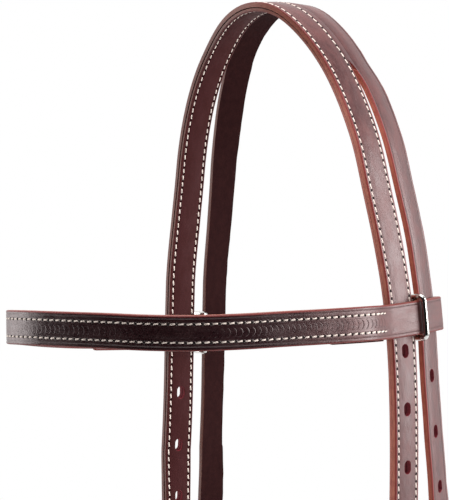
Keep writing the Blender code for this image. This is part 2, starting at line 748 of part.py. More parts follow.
def screw_set(name, spot, out):
    """A post from the outer face and the screw that closes it from the inner face."""
    face = PLY + CHEEK_LEATHER
    seat = face + CLEARANCE
    head = [(share * HEAD_RADIUS, seat + high * HEAD_HEIGHT) for share, high in HEAD_DOME_SHARES]
    post = head + [(HEAD_RADIUS, seat), (POST_RADIUS, seat), (POST_RADIUS, -face),
                   (POST_BORE, -face), (POST_BORE, seat - POST_FLOOR), (0, seat - POST_FLOOR)]
    shank_end = seat - POST_FLOOR - 2 * CLEARANCE
    screw = head + [(HEAD_RADIUS, seat), (SHANK_RADIUS, seat), (SHANK_RADIUS, -shank_end),
                    (0, -shank_end)]
    finish(name + "_post", lathe(post, spot, out), steel, spot)
    finish(name + "_screw", lathe(screw, spot, -out), steel, spot)


# Buckles and keepers

def buckle(name, buckling):
    """A buckle frame from its bar behind the billet to its front bar before it."""
    run = np.hypot(FRAME_RUN, buckling.front_bar)
    tilt = buckling.way(-FRAME_RUN / run, 0, buckling.front_bar / run)
    middle = buckling.place(-FRAME_RUN / 2, 0, buckling.front_bar / 2)
    outline = rounded_box(run / 2, HALF + FRAME_ROOM + BAR_RADIUS,
                          FRAME_FRONT_CORNER, FRAME_HEEL_CORNER)
    body = ring_body(middle, tilt, buckling.way(0, 1, 0), outline, round_section(BAR_RADIUS))
    finish(name, body, steel, buckling.place(0, 0, 0))


def tongue(name, buckling):
    """A tongue from its eye on the bar, through the hole used, to rest on the front bar."""
    radius = BAR_RADIUS + TONGUE_RADIUS + CLEARANCE
    turn = np.radians(np.linspace(EYE_TURN, 0, EYE_ROWS))[:-1]
    eye = np.stack([radius * np.sin(turn), radius * np.cos(turn)], 1)
    half = (buckling.face - buckling.back) / 2
    middle = buckling.back + half
    rest = buckling.front_bar + BAR_RADIUS + TONGUE_RADIUS + CLEARANCE
    lean = TONGUE_LEAN * half
    points = [
        (0, radius), (-0.6 * TONGUE_AT_HOLE, radius),
        (-TONGUE_AT_HOLE + 1.5 * lean, buckling.back - TONGUE_RADIUS),
        (-TONGUE_AT_HOLE, middle), (-TONGUE_AT_HOLE - lean, buckling.face),
        (-TONGUE_AT_HOLE - 2.6 * lean, rest - 2.2 * TONGUE_RADIUS),
        (-0.8 * FRAME_RUN, rest - TONGUE_RADIUS / 3), (-FRAME_RUN, rest),
        (-FRAME_RUN - TONGUE_OVERHANG, rest - TONGUE_RADIUS / 2)]
    shank = through([(down, 0, out) for down, out in points])[:, ::2]
    line = np.concatenate([eye, shank[:-TONGUE_ROW:TONGUE_ROW], shank[-1:]])
    ahead = unit(np.gradient(line, axis=0))
    shares = np.ones(len(line))
    shares[-len(TONGUE_TIP_SHARES):] = TONGUE_TIP_SHARES
    rings = []
    for (down, out), (along, rise), share in zip(line, ahead, shares):
        rings.append([buckling.place(down - rise * o * share, s * share, out + along * o * share)
                      for o, s in round_section(TONGUE_RADIUS)])
    finish(name, loft(rings, False), steel, buckling.place(0, 0, 0))


def keeper(name, buckling, down):
    """A leather keeper round the billet and the strap under it."""
    low = -PLY - buckling.strap - KEEPER_ROOM - KEEPER_LEATHER / 2
    high = buckling.face + KEEPER_ROOM + KEEPER_LEATHER / 2
    middle = buckling.place(down, 0, (low + high) / 2)
    outline = rounded_box((high - low) / 2, HALF + KEEPER_ROOM + KEEPER_LEATHER / 2,
                          KEEPER_CORNER, KEEPER_CORNER)
    body = ring_body(middle, buckling.way(0, 0, 1), buckling.way(0, 1, 0), outline,
                     flat_section(KEEPER_LEATHER, KEEPER_WIDTH))
    finish(name, body, leather, middle)


def buckled_end(name, buckling):
    buckle(name + "_buckle", buckling)
    tongue(name + "_tongue", buckling)
    keeper(name + "_fixed_keeper", buckling, FIXED_KEEPER_AT)
    keeper(name + "_sliding_keeper", buckling, SLIDING_KEEPER_AT)


def build():
    clear_scene()
    front = front_route()
    tails = tail_route(front)
    lined_back = -PLY - CROWN_LINING
    near = Buckling(front, NEAR, NEAR_FIRST_HOLE, 0, lined_back, CHEEK_LEATHER)
    off = Buckling(front, OFF, OFF_FIRST_HOLE, 0, lined_back, CHEEK_LEATHER)
    throat = Buckling(tails, NEAR, THROAT_FIRST_HOLE, HALF, PLY, CROWN_LEATHER)
    crown(front, tails, throat_route(tails, throat), throat)
    crown_lining(front)
    band = Band(front, tails)
    browband(band)
    browband_lining(band)
    browband_loop("near_browband_loop", tails, band, NEAR_BAND_AT)
    browband_loop("off_browband_loop", tails, band, -OFF_BAND_AT)
    for name, buckling in (("near_cheek", near), ("off_cheek", off)):
        cheek(name, buckling)
        for level, above in (("upper", UPPER_SCREW_ABOVE_BIT), ("lower", LOWER_SCREW_ABOVE_BIT)):
            spot = buckling.place(CHEEK_LENGTH - above, 0, 0)
            screw_set(name + "_" + level, spot, buckling.way(0, 0, 1))
        buckled_end(name, buckling)
    buckled_end("throat", throat)


if __name__ == "__main__":
    build()
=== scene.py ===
"""Looks of a western headstall: leather straps, stitching, tooling, keepers and metal.

Every strap is cut as a flat blank with its edges dressed, grooved and tooled while flat,
punched, and then bent along its route. A blank keeps its flat place in the attribute
"flat", as (along, across, out), and the leather's materials read it.
"""
from math import cos, pi, radians, sin

import bmesh
import bpy
import numpy as np
from mathutils import Matrix, Vector, noise


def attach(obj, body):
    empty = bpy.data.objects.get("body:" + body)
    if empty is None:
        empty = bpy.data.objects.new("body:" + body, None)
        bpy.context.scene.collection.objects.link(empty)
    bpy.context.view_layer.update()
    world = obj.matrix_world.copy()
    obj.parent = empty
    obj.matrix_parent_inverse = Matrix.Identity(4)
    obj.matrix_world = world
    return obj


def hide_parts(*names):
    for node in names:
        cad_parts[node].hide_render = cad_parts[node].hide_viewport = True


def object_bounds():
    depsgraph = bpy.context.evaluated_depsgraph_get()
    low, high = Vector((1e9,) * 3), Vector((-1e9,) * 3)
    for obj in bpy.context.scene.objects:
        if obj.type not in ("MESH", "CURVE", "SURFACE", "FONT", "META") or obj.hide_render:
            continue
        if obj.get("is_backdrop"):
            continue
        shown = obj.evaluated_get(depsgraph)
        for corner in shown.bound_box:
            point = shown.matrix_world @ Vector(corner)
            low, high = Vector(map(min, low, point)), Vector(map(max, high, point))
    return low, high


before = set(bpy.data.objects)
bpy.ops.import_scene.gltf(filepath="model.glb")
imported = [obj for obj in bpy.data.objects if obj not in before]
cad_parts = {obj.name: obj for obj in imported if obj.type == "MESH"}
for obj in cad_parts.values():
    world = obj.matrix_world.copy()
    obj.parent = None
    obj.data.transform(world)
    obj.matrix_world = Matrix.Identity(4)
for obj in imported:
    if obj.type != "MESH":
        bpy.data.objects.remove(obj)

bl_info = {
    "name": "Western Headstall Looks",
    "version": (1, 0, 0),
    "blender": (4, 5, 0),
    "location": "3D Viewport > Sidebar > Headstall",
    "description": "Leather straps, stitching, tooling and metal for a western headstall",
    "category": "Object",
}

# Sizes and routes, as in the part, with more points round a billet's tip

STRAP_WIDTH = 0.0159
CROWN_LEATHER = 0.0026
CROWN_LINING = 0.0018
BAND_LEATHER = 0.0022
CHEEK_LEATHER = 0.0022
LINING_INSET = 0.0003
PLY_GAP = 0.0003
CLEARANCE = 0.0003
ARCH_SLOPES = (
    (-0.265, -90), (-0.200, -94), (-0.150, -95), (-0.110, -84), (-0.080, -70),
    (-0.050, -48), (-0.025, -26), (0, 0), (0.025, 39), (0.050, 54), (0.080, 56),
    (0.110, 69), (0.150, 77), (0.200, 85), (0.265, 90))
FRONT_SWAY = (
    (-0.265, -0.0123), (-0.180, -0.0059), (-0.120, 0.0041), (-0.060, 0.0069), (0, 0),
    (0.060, 0.0079), (0.120, 0.0034), (0.180, 0.0048), (0.265, 0.0036))
FRONT_TURN = ((-0.300, 0), (-0.265, 8), (-0.180, 6), (-0.120, 5), (0, 0),
              (0.120, 2), (0.265, 2), (0.300, 0))
TAIL_GAP = (
    (-0.250, 0.0076), (-0.180, 0.0074), (-0.105, 0.0052), (-0.075, 0.0030), (-0.050, 0),
    (0.050, 0), (0.065, 0.0026), (0.090, 0.0032), (0.140, 0.0042), (0.165, 0.0036),
    (0.200, 0.0036), (0.234, 0.0057), (0.260, 0.0088), (0.300, 0.0120))
TAIL_TURN = (
    (-0.300, 0), (-0.250, -18), (-0.200, -14), (-0.160, -11), (-0.125, -5), (-0.090, 3),
    (-0.045, 3), (0, 6), (0.030, 11), (0.090, 14), (0.175, 17), (0.260, 17), (0.300, 0))
SPLIT = 0.050
SLIT = 0.0004
NOTCH = 0.006
LEG_REACH = 0.600
HOLE_LENGTH = 0.0064
HOLE_WIDTH = 0.0042
HOLE_PITCH = 0.0273
HOLE_COUNT = 7
NEAR_FIRST_HOLE = 0.1938
OFF_FIRST_HOLE = 0.2070
THROAT_FIRST_HOLE = 0.2080
HOLE_USED = 4
TIP_BEYOND_LAST_HOLE = 0.0350
TIP_LENGTH = 0.0130
TIP_SHARES = ((0, 1), (0.2, 0.985), (0.35, 0.93), (0.5, 0.865), (0.62, 0.78), (0.73, 0.675),
              (0.82, 0.55), (0.9, 0.42), (0.95, 0.28), (0.985, 0.14), (1, 0))
NEAR_BAND_AT = 0.1792
OFF_BAND_AT = 0.2035
BAND_ROUTE = (
    (0.0972, -0.0335, -0.1405), (0.0947, -0.0556, -0.1396), (0.0898, -0.0769, -0.1390),
    (0.0840, -0.0974, -0.1387), (0.0739, -0.1156, -0.1387), (0.0583, -0.1293, -0.1390),
    (0.0390, -0.1379, -0.1397), (0.0186, -0.1440, -0.1410), (-0.0024, -0.1476, -0.1427),
    (-0.0226, -0.1456, -0.1452), (-0.0385, -0.1345, -0.1485), (-0.0530, -0.1180, -0.1530),
    (-0.0630, -0.0960, -0.1580), (-0.0672, -0.0720, -0.1620), (-0.0665, -0.0480, -0.1645))
BAND_RETURN = 0.0520
BAND_ROOM = 0.0006
BAND_SLACK = 0.0009
BAND_MERGE = 0.0080
BAND_SQUARE = 0.0600
BAND_HOLD = 0.0450
BAND_OVER_TAIL_SHARES = (0.55, 0.10)
RETURN_DROP = 0.0007
LOOP_WIRE = 0.0027
LOOP_ROOM = 0.0004
LOOP_CORNER = 0.0022
BAR_RADIUS = 0.0016
FRAME_ROOM = 0.0005
FRAME_RUN = 0.0205
FRAME_HEEL_CORNER = 0.0019
FRAME_FRONT_CORNER = 0.0026
TONGUE_RADIUS = 0.00105
TONGUE_AT_HOLE = 0.0102
TONGUE_OVERHANG = 0.0032
TONGUE_LEAN = 0.48
TONGUE_TIP_SHARES = (1, 0.94, 0.78, 0.45)
EYE_TURN = 270
SLOT_WIDTH = 0.0042
SLOT_BEYOND_BAR = 0.0065
FOLD_MERGE = 0.0100
CHEEK_LENGTH = 0.2040
CHEEK_TOP_RETURN = 0.0580
CHEEK_BIT_RETURN = 0.0540
BIT_ROOM = 0.0062
BIT_MERGE = 0.0200
UPPER_SCREW_ABOVE_BIT = 0.0430
LOWER_SCREW_ABOVE_BIT = 0.0250
THROAT_LEAVES = 0.3000
THROAT_DROP = 0.4500
THROAT_RETURN = 0.0350
KEEPER_LEATHER = 0.0018
KEEPER_WIDTH = 0.0090
KEEPER_ROOM = 0.0004
KEEPER_CORNER = 0.0019
FIXED_KEEPER_AT = 0.0150
SLIDING_KEEPER_AT = 0.0600
HEAD_RADIUS = 0.0048
HEAD_HEIGHT = 0.0013
POST_RADIUS = 0.0025
POST_BORE = 0.0020
POST_FLOOR = 0.0008
SHANK_RADIUS = 0.0016
SCREW_HOLE_RADIUS = 0.0029

NEAR, OFF = 1, -1
HALF = STRAP_WIDTH / 2
PLY = PLY_GAP / 2
BAND_LIFT = CROWN_LEATHER + BAND_ROOM
BAND_FOLD = (CROWN_LEATHER + 2 * BAND_ROOM - 2 * PLY) / 2
BAND_UNDER = BAND_LIFT + CROWN_LINING + BAND_ROOM

# Looks

TABLE_STEP = 0.0004
ROW_STEP = 0.0036
ROW_GAP = 0.0002
FOLD_ROWS = 16
HOLE_SIDES = 12
INNER_EASE = 0.0001
WIRE_SIDES = 10
LATHE_SIDES = 48
CROWN_ROW_AT = 0.00592
BAND_ROW_AT = 0.0041
FACE_REACH = 0.00005
GROOVE_HALF_WIDTH = 0.0007
LINING_GROOVE = 0.0002
LINING_EASE_SHARE = 0.8
STRIP_CORNER = 0.0012
STRIP_SIDES = 3
FOLD_FIRST_STEP = 0.0012
FOLD_STEP = 0.0018
FOLD_REACH = 0.006
STEEP, LEVEL = 0.5, 0.97
EASE_SEGMENTS = 3
HOLE_WORN = 0.00012
HOLE_FLARE = 1.25
WEAR_HEIGHT = 0.00007
WEAR_WAVES = (90, 60, 3.7)
RAGGED_REACH = 0.0007
RAGGED_EDGE = 0.0003
RAGGED_WAVES = (420, 700, 9.1)
GRAIN, FLESH, EDGE, HOLE = 0, 1, 2, 3


# Settings

class LeatherSettings(bpy.types.PropertyGroup):
    """Oxblood bridle leather and its dressed edges."""
    grain: bpy.props.FloatVectorProperty(
        name="Grain", description="Colour of the smooth outer face", subtype="COLOR",
        size=4, min=0, max=1, default=(0.104, 0.026, 0.025, 1))
    grain_deep: bpy.props.FloatVectorProperty(
        name="Deep Grain", description="Colour in the darker patches and pores",
        subtype="COLOR", size=4, min=0, max=1, default=(0.055, 0.013, 0.014, 1))
    lining: bpy.props.FloatVectorProperty(
        name="Lining", description="Colour of the linings' plain face", subtype="COLOR",
        size=4, min=0, max=1, default=(0.048, 0.011, 0.011, 1))
    flesh: bpy.props.FloatVectorProperty(
        name="Flesh Side", description="Colour of the rough inner face", subtype="COLOR",
        size=4, min=0, max=1, default=(0.026, 0.007, 0.007, 1))
    edge: bpy.props.FloatVectorProperty(
        name="Edge", description="Colour of the dressed edges", subtype="COLOR",
        size=4, min=0, max=1, default=(0.290, 0.092, 0.062, 1))
    hole: bpy.props.FloatVectorProperty(
        name="Hole", description="Colour of the punched holes' walls", subtype="COLOR",
        size=4, min=0, max=1, default=(0.240, 0.026, 0.038, 1))
    edge_ease: bpy.props.FloatProperty(
        name="Edge Rounding", description="How far the outer edges are rounded over",
        unit="LENGTH", default=0.0007, min=0.0002, max=0.001)
    gloss: bpy.props.FloatProperty(
        name="Roughness", description="Roughness of the waxed grain", subtype="FACTOR",
        default=0.42, min=0.1, max=1)


class StitchSettings(bpy.types.PropertyGroup):
    """The pale waxed thread."""
    thread: bpy.props.FloatVectorProperty(
        name="Thread", description="Colour of the thread", subtype="COLOR",
        size=4, min=0, max=1, default=(0.90, 0.78, 0.70, 1))
    pitch: bpy.props.FloatProperty(
        name="Pitch", description="From one stitch to the next", unit="LENGTH",
        default=0.00363, min=0.002, max=0.006)
    length: bpy.props.FloatProperty(
        name="Length", description="Length of a stitch that shows", unit="LENGTH",
        default=0.0028, min=0.001, max=0.005)
    width: bpy.props.FloatProperty(
        name="Width", description="Width of the thread", unit="LENGTH",
        default=0.00108, min=0.0004, max=0.002)
    slant: bpy.props.FloatProperty(
        name="Slant", description="Turn of a stitch out of its row", subtype="ANGLE",
        default=radians(9), min=0, max=radians(30))
    groove: bpy.props.FloatProperty(
        name="Groove Depth", description="How deep the stitches pull the leather in",
        unit="LENGTH", default=0.00022, min=0, max=0.0006)


class ToolingSettings(bpy.types.PropertyGroup):
    """The crescents stamped along the browband."""
    pitch: bpy.props.FloatProperty(
        name="Pitch", description="From one crescent to the next", unit="LENGTH",
        default=0.0028, min=0.0015, max=0.006)
    height: bpy.props.FloatProperty(
        name="Height", description="Height of a crescent across the strap", unit="LENGTH",
        default=0.0043, min=0.002, max=0.008)
    depth: bpy.props.FloatProperty(
        name="Depth", description="Depth of the stamped line", unit="LENGTH",
        default=0.00022, min=0, max=0.001)
    faded: bpy.props.FloatProperty(
        name="Faded Depth", description="Share of the depth left away from the near end",
        subtype="FACTOR", default=0.25, min=0, max=1)


class MetalSettings(bpy.types.PropertyGroup):
    """Polished stainless steel."""
    steel: bpy.props.FloatVectorProperty(
        name="Steel", description="Colour of the metal", subtype="COLOR",
        size=4, min=0, max=1, default=(0.62, 0.61, 0.59, 1))


class StageSettings(bpy.types.PropertyGroup):
    """Floor, lamps and camera."""
    floor: bpy.props.FloatVectorProperty(
        name="Floor", description="Colour of the floor", subtype="COLOR",
        size=4, min=0, max=1, default=(0.86, 0.86, 0.86, 1))
    fill: bpy.props.FloatProperty(
        name="Fill", description="Strength of the soft light from all round",
        default=0.08, min=0, max=2)
    lens: bpy.props.FloatProperty(
        name="Lens", description="Focal length in millimetres", default=146.4,
        min=20, max=300)


# Curves and routes

def smooth(keys, values, at, tight=False):
    """Read a smooth curve through the values. A tight one never swings past them."""
    keys = np.asarray(keys, float)
    values = np.asarray(values, float)
    slopes = np.gradient(values, keys)
    if tight:
        rates = np.diff(values) / np.diff(keys)
        product = rates[1:] * rates[:-1]
        total = rates[1:] + rates[:-1]
        safe = np.where(product > 0, total, 1)
        slopes[1:-1] = np.where(product > 0, 2 * product / safe, 0)
    at = np.clip(at, keys[0], keys[-1])
    cell = np.clip(np.searchsorted(keys, at, "right") - 1, 0, len(keys) - 2)
    span = keys[cell + 1] - keys[cell]
    u = (at - keys[cell]) / span
    start, end = values[cell], values[cell + 1]
    lead, trail = slopes[cell] * span, slopes[cell + 1] * span
    return (start * (1 + 2 * u) * (1 - u) ** 2 + lead * u * (1 - u) ** 2
            + end * (3 - 2 * u) * u ** 2 + trail * (u - 1) * u ** 2)


def read(table, at):
    keys, values = zip(*table)
    return smooth(keys, values, at, tight=True)


def eased(share):
    """Falls smoothly from 1 to 0 as the share grows from 0 to 1."""
    share = np.clip(share, 0, 1)
    return (1 - share) ** 2 * (1 + 2 * share)


def measured(points):
    """The distance along a line of points to each of them."""
    return np.concatenate([[0], np.cumsum(np.linalg.norm(np.diff(points, axis=0), axis=1))])


def through(points):
    """A fine, smooth line through the points."""
    points = np.asarray(points, float)
    keys = measured(points)
    at = np.linspace(0, keys[-1], int(keys[-1] / TABLE_STEP))
    return np.stack([smooth(keys, column, at) for column in points.T], 1)


def unit(vectors):
    return vectors / np.linalg.norm(vectors, axis=-1, keepdims=True)


class Route:
    """A line in space with the across and out directions of the strap on it."""

    def __init__(self, line, across, along=None):
        self.along = measured(line) if along is None else along
        self.line = line
        self.ahead = unit(np.gradient(line, self.along, axis=0))
        lean = np.sum(across * self.ahead, axis=1, keepdims=True)
        self.across = unit(across - lean * self.ahead)
        self.out = np.cross(self.ahead, self.across)
        self.length = self.along[-1] - self.along[0]

    def read(self, rows, at):
        return np.stack([np.interp(at, self.along, column) for column in rows.T], -1)

    def nearest(self, point, first=0, last=1):
        """The distance along to the step nearest the point, between two shares of the way."""
        share = (self.along - self.along[0]) / self.length
        gaps = np.linalg.norm(self.line - point, axis=1)
        gaps[(share < first) | (share > last)] = np.inf
        return self.along[np.argmin(gaps)]

    def place(self, at, across, out):
        at, across, out = np.broadcast_arrays(at, across, out)
        return (self.read(self.line, at) + across[..., None] * self.read(self.across, at)
                + out[..., None] * self.read(self.out, at))


class Buckling:
    """A buckle's bar behind a billet, with places given from the bar's middle."""

    def __init__(self, route, side, first_hole, middle, billet_back, strap):
        self.at = first_hole + HOLE_USED * HOLE_PITCH + TONGUE_AT_HOLE
        self.route, self.side, self.middle, self.strap = route, side, middle, strap
        self.radius = BAR_RADIUS + CLEARANCE - PLY
        self.depth = billet_back - CLEARANCE - strap - PLY - self.radius
        self.back = billet_back - self.depth
        self.face = PLY + CROWN_LEATHER - self.depth
        self.front_bar = self.face + CLEARANCE + BAR_RADIUS

    def place(self, down, across, out):
        """A point by its distance below the bar, across it, and out from it."""
        return self.route.place(self.side * (self.at + np.asarray(down, float)),
                                self.middle + across, self.depth + np.asarray(out, float))

    def way(self, down, across, out):
        far = self.place(down * TABLE_STEP, across * TABLE_STEP, out * TABLE_STEP)
        return unit(far - self.place(0, 0, 0))


def wrapped(radius, merge, inner_reach, outer_reach):
    """(down, out) points up a fold's inner run, over its bar and down its outer run."""
    inner = np.arange(inner_reach, 0, -TABLE_STEP)
    outer = np.arange(0, outer_reach, TABLE_STEP)
    turn = np.linspace(-pi / 2, pi / 2, 2 + int(pi * radius / TABLE_STEP))[:-1]
    downs = np.concatenate([inner, -radius * np.cos(turn), outer])
    outs = np.concatenate([-radius * eased(inner / merge), radius * np.sin(turn),
                           radius * eased(outer / merge)])
    return downs, outs


def turned(across, out, degrees):
    """Turn the across direction inwards by the angle at each step."""
    angle = np.radians(degrees)[:, None]
    return np.cos(angle) * across - np.sin(angle) * out


def front_route():
    """The middle of the crown's front half, from the off tail's end to the near one's."""
    at = np.arange(-LEG_REACH, LEG_REACH, TABLE_STEP)
    slope = np.radians(read(ARCH_SLOPES, at))
    ahead = np.stack([np.cos(slope), 0 * at, -np.sin(slope)], 1)
    steps = (ahead[1:] + ahead[:-1]) / 2 * TABLE_STEP
    line = np.concatenate([np.zeros((1, 3)), np.cumsum(steps, axis=0)])
    line -= line[np.argmin(np.abs(at))]
    line[:, 1] = read(FRONT_SWAY, at) - HALF
    line[:, 2] += PLY + CROWN_LINING
    level = Route(line, np.tile([0, 1.0, 0], (len(at), 1)), at)
    return Route(line, turned(level.across, level.out, read(FRONT_TURN, at)), at)


def tail_route(front):
    """The front edge of the crown's rear half and of the throat tails."""
    at = front.along
    line = front.line + (HALF + read(TAIL_GAP, at))[:, None] * front.across
    return Route(line, turned(front.across, front.out, read(TAIL_TURN, at)), at)


def throat_route(tails, buckling):
    """The strap's front edge from the near buckle, under the jaw, to the off throat tail."""
    off_end = tails.place(-THROAT_LEAVES, 0, 0)
    downs, outs = wrapped(buckling.radius, FOLD_MERGE, THROAT_RETURN, FOLD_MERGE)
    near = buckling.place(downs, -HALF, outs)
    span = (near[-1][0] - off_end[0]) / 2
    low = span - THROAT_DROP
    down = np.arange(near[-1][2] - TABLE_STEP, low, -TABLE_STEP)
    turn = np.arange(0, pi, TABLE_STEP / span)[1:]
    up = np.arange(low, off_end[2], TABLE_STEP)[1:]
    y = near[-1][1] + (off_end[1] - near[-1][1]) * (1 - np.cos(turn)) / 2
    line = np.concatenate([
        near,
        np.stack([0 * down + near[-1][0], 0 * down + near[-1][1], down], 1),
        np.stack([off_end[0] + span * (1 + np.cos(turn)), y, low - span * np.sin(turn)], 1),
        np.stack([0 * up + off_end[0], 0 * up + off_end[1], up], 1), [off_end]])
    route = Route(line, np.tile([0, 1.0, 0], (len(line), 1)))
    route.along -= THROAT_LEAVES + route.length
    return route


def cheek_route(buckling):
    """From the top fold's inner end over the bar, down, round the bit and up again."""
    downs, outs = wrapped(buckling.radius, FOLD_MERGE, CHEEK_TOP_RETURN, CHEEK_LENGTH / 2)
    bit = wrapped(BIT_ROOM - PLY, BIT_MERGE, CHEEK_LENGTH / 2, CHEEK_BIT_RETURN)
    downs = np.concatenate([downs, CHEEK_LENGTH - bit[0][1:]])
    outs = np.concatenate([outs, -bit[1][1:]])
    line = buckling.place(downs, 0, outs)
    return Route(line, np.tile(buckling.side * buckling.way(0, 1, 0), (len(line), 1)))


def over_tails(front, tails, at):
    """Points of the browband's line over a throat tail and then a front tail."""
    rear = [tails.place(at, STRAP_WIDTH + BAND_SLACK, BAND_LIFT)]
    rear += [tails.place(at, share * STRAP_WIDTH, BAND_LIFT) for share in BAND_OVER_TAIL_SHARES]
    return rear + [front.place(at, across, BAND_LIFT) for across in (HALF + BAND_ROOM, 0, -HALF)]


def band_return(line, across, out, reach, tail):
    """The half turn round a throat tail and the run back under both tails."""
    keep = reach < tail + BAND_RETURN
    depth = read(((0, 2 * BAND_FOLD), (HALF / 2, 2 * BAND_FOLD),
                  (tail - HALF - BAND_ROOM, BAND_UNDER), (tail + HALF, BAND_UNDER),
                  (tail + HALF + BAND_MERGE, 0)), reach[keep])[:, None]
    drop = read(((tail - HALF, 0), (tail + HALF + BAND_MERGE, RETURN_DROP)), reach[keep])
    run = line[keep] - depth * out[keep] + drop[:, None] * across[keep]
    middle = line[0] - BAND_FOLD * out[0]
    turn = np.linspace(0, pi, int(pi * BAND_FOLD / TABLE_STEP))[1:-1, None]
    fold = middle + BAND_FOLD * (np.sin(turn) * unit(line[0] - line[1]) + np.cos(turn) * out[0])
    ways = np.concatenate([np.tile(across[0], (len(turn), 1)), across[keep]])
    return np.concatenate([fold, run]), ways


class Band:
    """The browband's outer run, and its whole route with the returns at both ends."""

    def __init__(self, front, tails):
        near = over_tails(front, tails, NEAR_BAND_AT)
        off = over_tails(front, tails, -OFF_BAND_AT)
        line = through(near + list(BAND_ROUTE) + off[::-1])
        level = Route(line, np.tile([0, 0, -1.0], (len(line), 1)))
        near_share = eased((level.along - BAND_HOLD) / BAND_SQUARE)[:, None]
        off_share = eased((level.length - level.along - BAND_HOLD) / BAND_SQUARE)[:, None]
        down = (near_share * front.read(front.ahead, NEAR_BAND_AT)
                - off_share * front.read(front.ahead, -OFF_BAND_AT)
                + (1 - near_share - off_share) * [0, 0, -1.0])
        self.main = main = Route(line, down)
        self.near_tail = main.nearest(near[-2], 0, 0.5)
        self.off_tail = main.nearest(off[-2], 0.5, 1)
        near_rows, near_ways = band_return(
            main.line, main.across, main.out, main.along, self.near_tail)
        off_rows, off_ways = band_return(
            main.line[::-1], main.across[::-1], main.out[::-1],
            (main.length - main.along)[::-1], main.length - self.off_tail)
        self.route = Route(np.concatenate([near_rows[::-1], main.line, off_rows]),
                           np.concatenate([near_ways[::-1], main.across, off_ways]))
        half_turn = BAND_FOLD * pi / 2
        self.start = self.route.nearest(main.line[0], 0, 0.5)
        self.folds = (self.start - half_turn,
                      self.route.nearest(main.line[-1], 0.5, 1) + half_turn)


class Layout:
    """Every route of the headstall."""

    def __init__(self):
        self.front = front_route()
        self.tails = tail_route(self.front)
        back = -PLY - CROWN_LINING
        self.near = Buckling(self.front, NEAR, NEAR_FIRST_HOLE, 0, back, CHEEK_LEATHER)
        self.off = Buckling(self.front, OFF, OFF_FIRST_HOLE, 0, back, CHEEK_LEATHER)
        self.throat = Buckling(self.tails, NEAR, THROAT_FIRST_HOLE, HALF, PLY, CROWN_LEATHER)
        self.throat_line = throat_route(self.tails, self.throat)
        self.band = Band(self.front, self.tails)
        self.bucklings = {"near_cheek": self.near, "off_cheek": self.off,
                          "throat": self.throat}

    def place_crown(self, at, across, out):
        """The crown's front half lies on the front route, its rear half on the tails'."""
        rear = np.where((at < -THROAT_LEAVES)[:, None],
                        self.throat_line.place(at, across - HALF, out),
                        self.tails.place(at, across - HALF, out))
        return np.where((across > HALF + PLY / 10)[:, None], rear,
                        self.front.place(at, across, out))


layout = Layout()


# Leather blanks

def tip(end, middle, half, way):
    """A billet's rounded point, from its rear edge round to its front edge."""
    base = end - way * TIP_LENGTH
    rear = [(base + way * TIP_LENGTH * a, middle + half * b) for a, b in TIP_SHARES]
    front = [(at, 2 * middle - across) for at, across in reversed(rear[:-1])]
    return rear + front


def blank(outline, low, high, ease, notches=()):
    """A flat blank between two levels, its edges rounded on both faces."""
    bm = bmesh.new()
    face = bm.faces.new([bm.verts.new((at, across, low)) for at, across in outline])
    grown = bmesh.ops.extrude_face_region(bm, geom=[face])
    top = [item for item in grown["geom"] if isinstance(item, bmesh.types.BMVert)]
    bmesh.ops.translate(bm, verts=top, vec=(0, 0, high - low))
    bmesh.ops.recalc_face_normals(bm, faces=bm.faces)
    outer = max(low, high, key=abs)
    inner = low + high - outer
    for level, offset, segments in ((outer, ease, EASE_SEGMENTS), (inner, INNER_EASE, 1)):
        edges = []
        for edge in bm.edges:
            flat = all(abs(vert.co.z - level) < PLY / 2 for vert in edge.verts)
            notched = any(abs(vert.co.x - at) < PLY and abs(vert.co.y - across) < PLY / 10
                          for vert in edge.verts for at, across in notches)
            rim = len(edge.link_faces) == 2 and any(
                abs(side.normal.z) < STEEP for side in edge.link_faces)
            if flat and rim and not notched:
                edges.append(edge)
        bmesh.ops.bevel(bm, geom=edges, offset=offset, offset_type="OFFSET",
                        segments=segments, profile=0.5, affect="EDGES", material=-1)
    return bm


def ring_points(half_long, half_wide, front_corner, heel_corner, sides=8):
    """Points round a rounded box, its front end at +half_long."""
    points = []
    for corner in range(4):
        long_sign = 1 if corner in (0, 3) else -1
        wide_sign = 1 if corner < 2 else -1
        radius = front_corner if long_sign > 0 else heel_corner
        middle = (long_sign * (half_long - radius), wide_sign * (half_wide - radius))
        for index in range(sides + 1):
            angle = pi / 2 * (corner + index / sides)
            points.append((middle[0] + radius * cos(angle), middle[1] + radius * sin(angle)))
    return points


def strip(first, last, half, low, high, ease):
    """A strip with its four corners just rounded."""
    middle = (first + last) / 2
    around = ring_points(middle - first, half, STRIP_CORNER, STRIP_CORNER, STRIP_SIDES)
    return blank([(middle + at, across) for at, across in around], low, high, ease)


def spaced(first, last, step):
    return list(np.linspace(first, last, max(int(round(abs(last - first) / step)), 1) + 1))


def fold_stations(at, radius, reach):
    """Stations round a fold, and close together out to its reach."""
    half_turn = radius * pi / 2
    turn = list(np.linspace(at - half_turn, at + half_turn, FOLD_ROWS + 1))
    runs = list(np.arange(half_turn + FOLD_FIRST_STEP, half_turn + reach, FOLD_STEP))
    return turn + [at - run for run in runs] + [at + run for run in runs]


def score(bm, stations, columns=()):
    """Cut the blank across at each station and along each column, so that it can bend."""
    cuts = []
    for at in sorted(stations):
        if not cuts or at > cuts[-1][0][0] + ROW_GAP:
            cuts.append(((at, 0, 0), (1, 0, 0)))
    cuts += [((0, across, 0), (0, 1, 0)) for across in columns]
    for point, normal in cuts:
        geom = bm.verts[:] + bm.edges[:] + bm.faces[:]
        bmesh.ops.bisect_plane(bm, geom=geom, dist=PLY / 50, plane_co=point, plane_no=normal)


def mesh_of(bm, name):
    mesh = bpy.data.meshes.new(name)
    bm.to_mesh(mesh)
    bm.free()
    return mesh


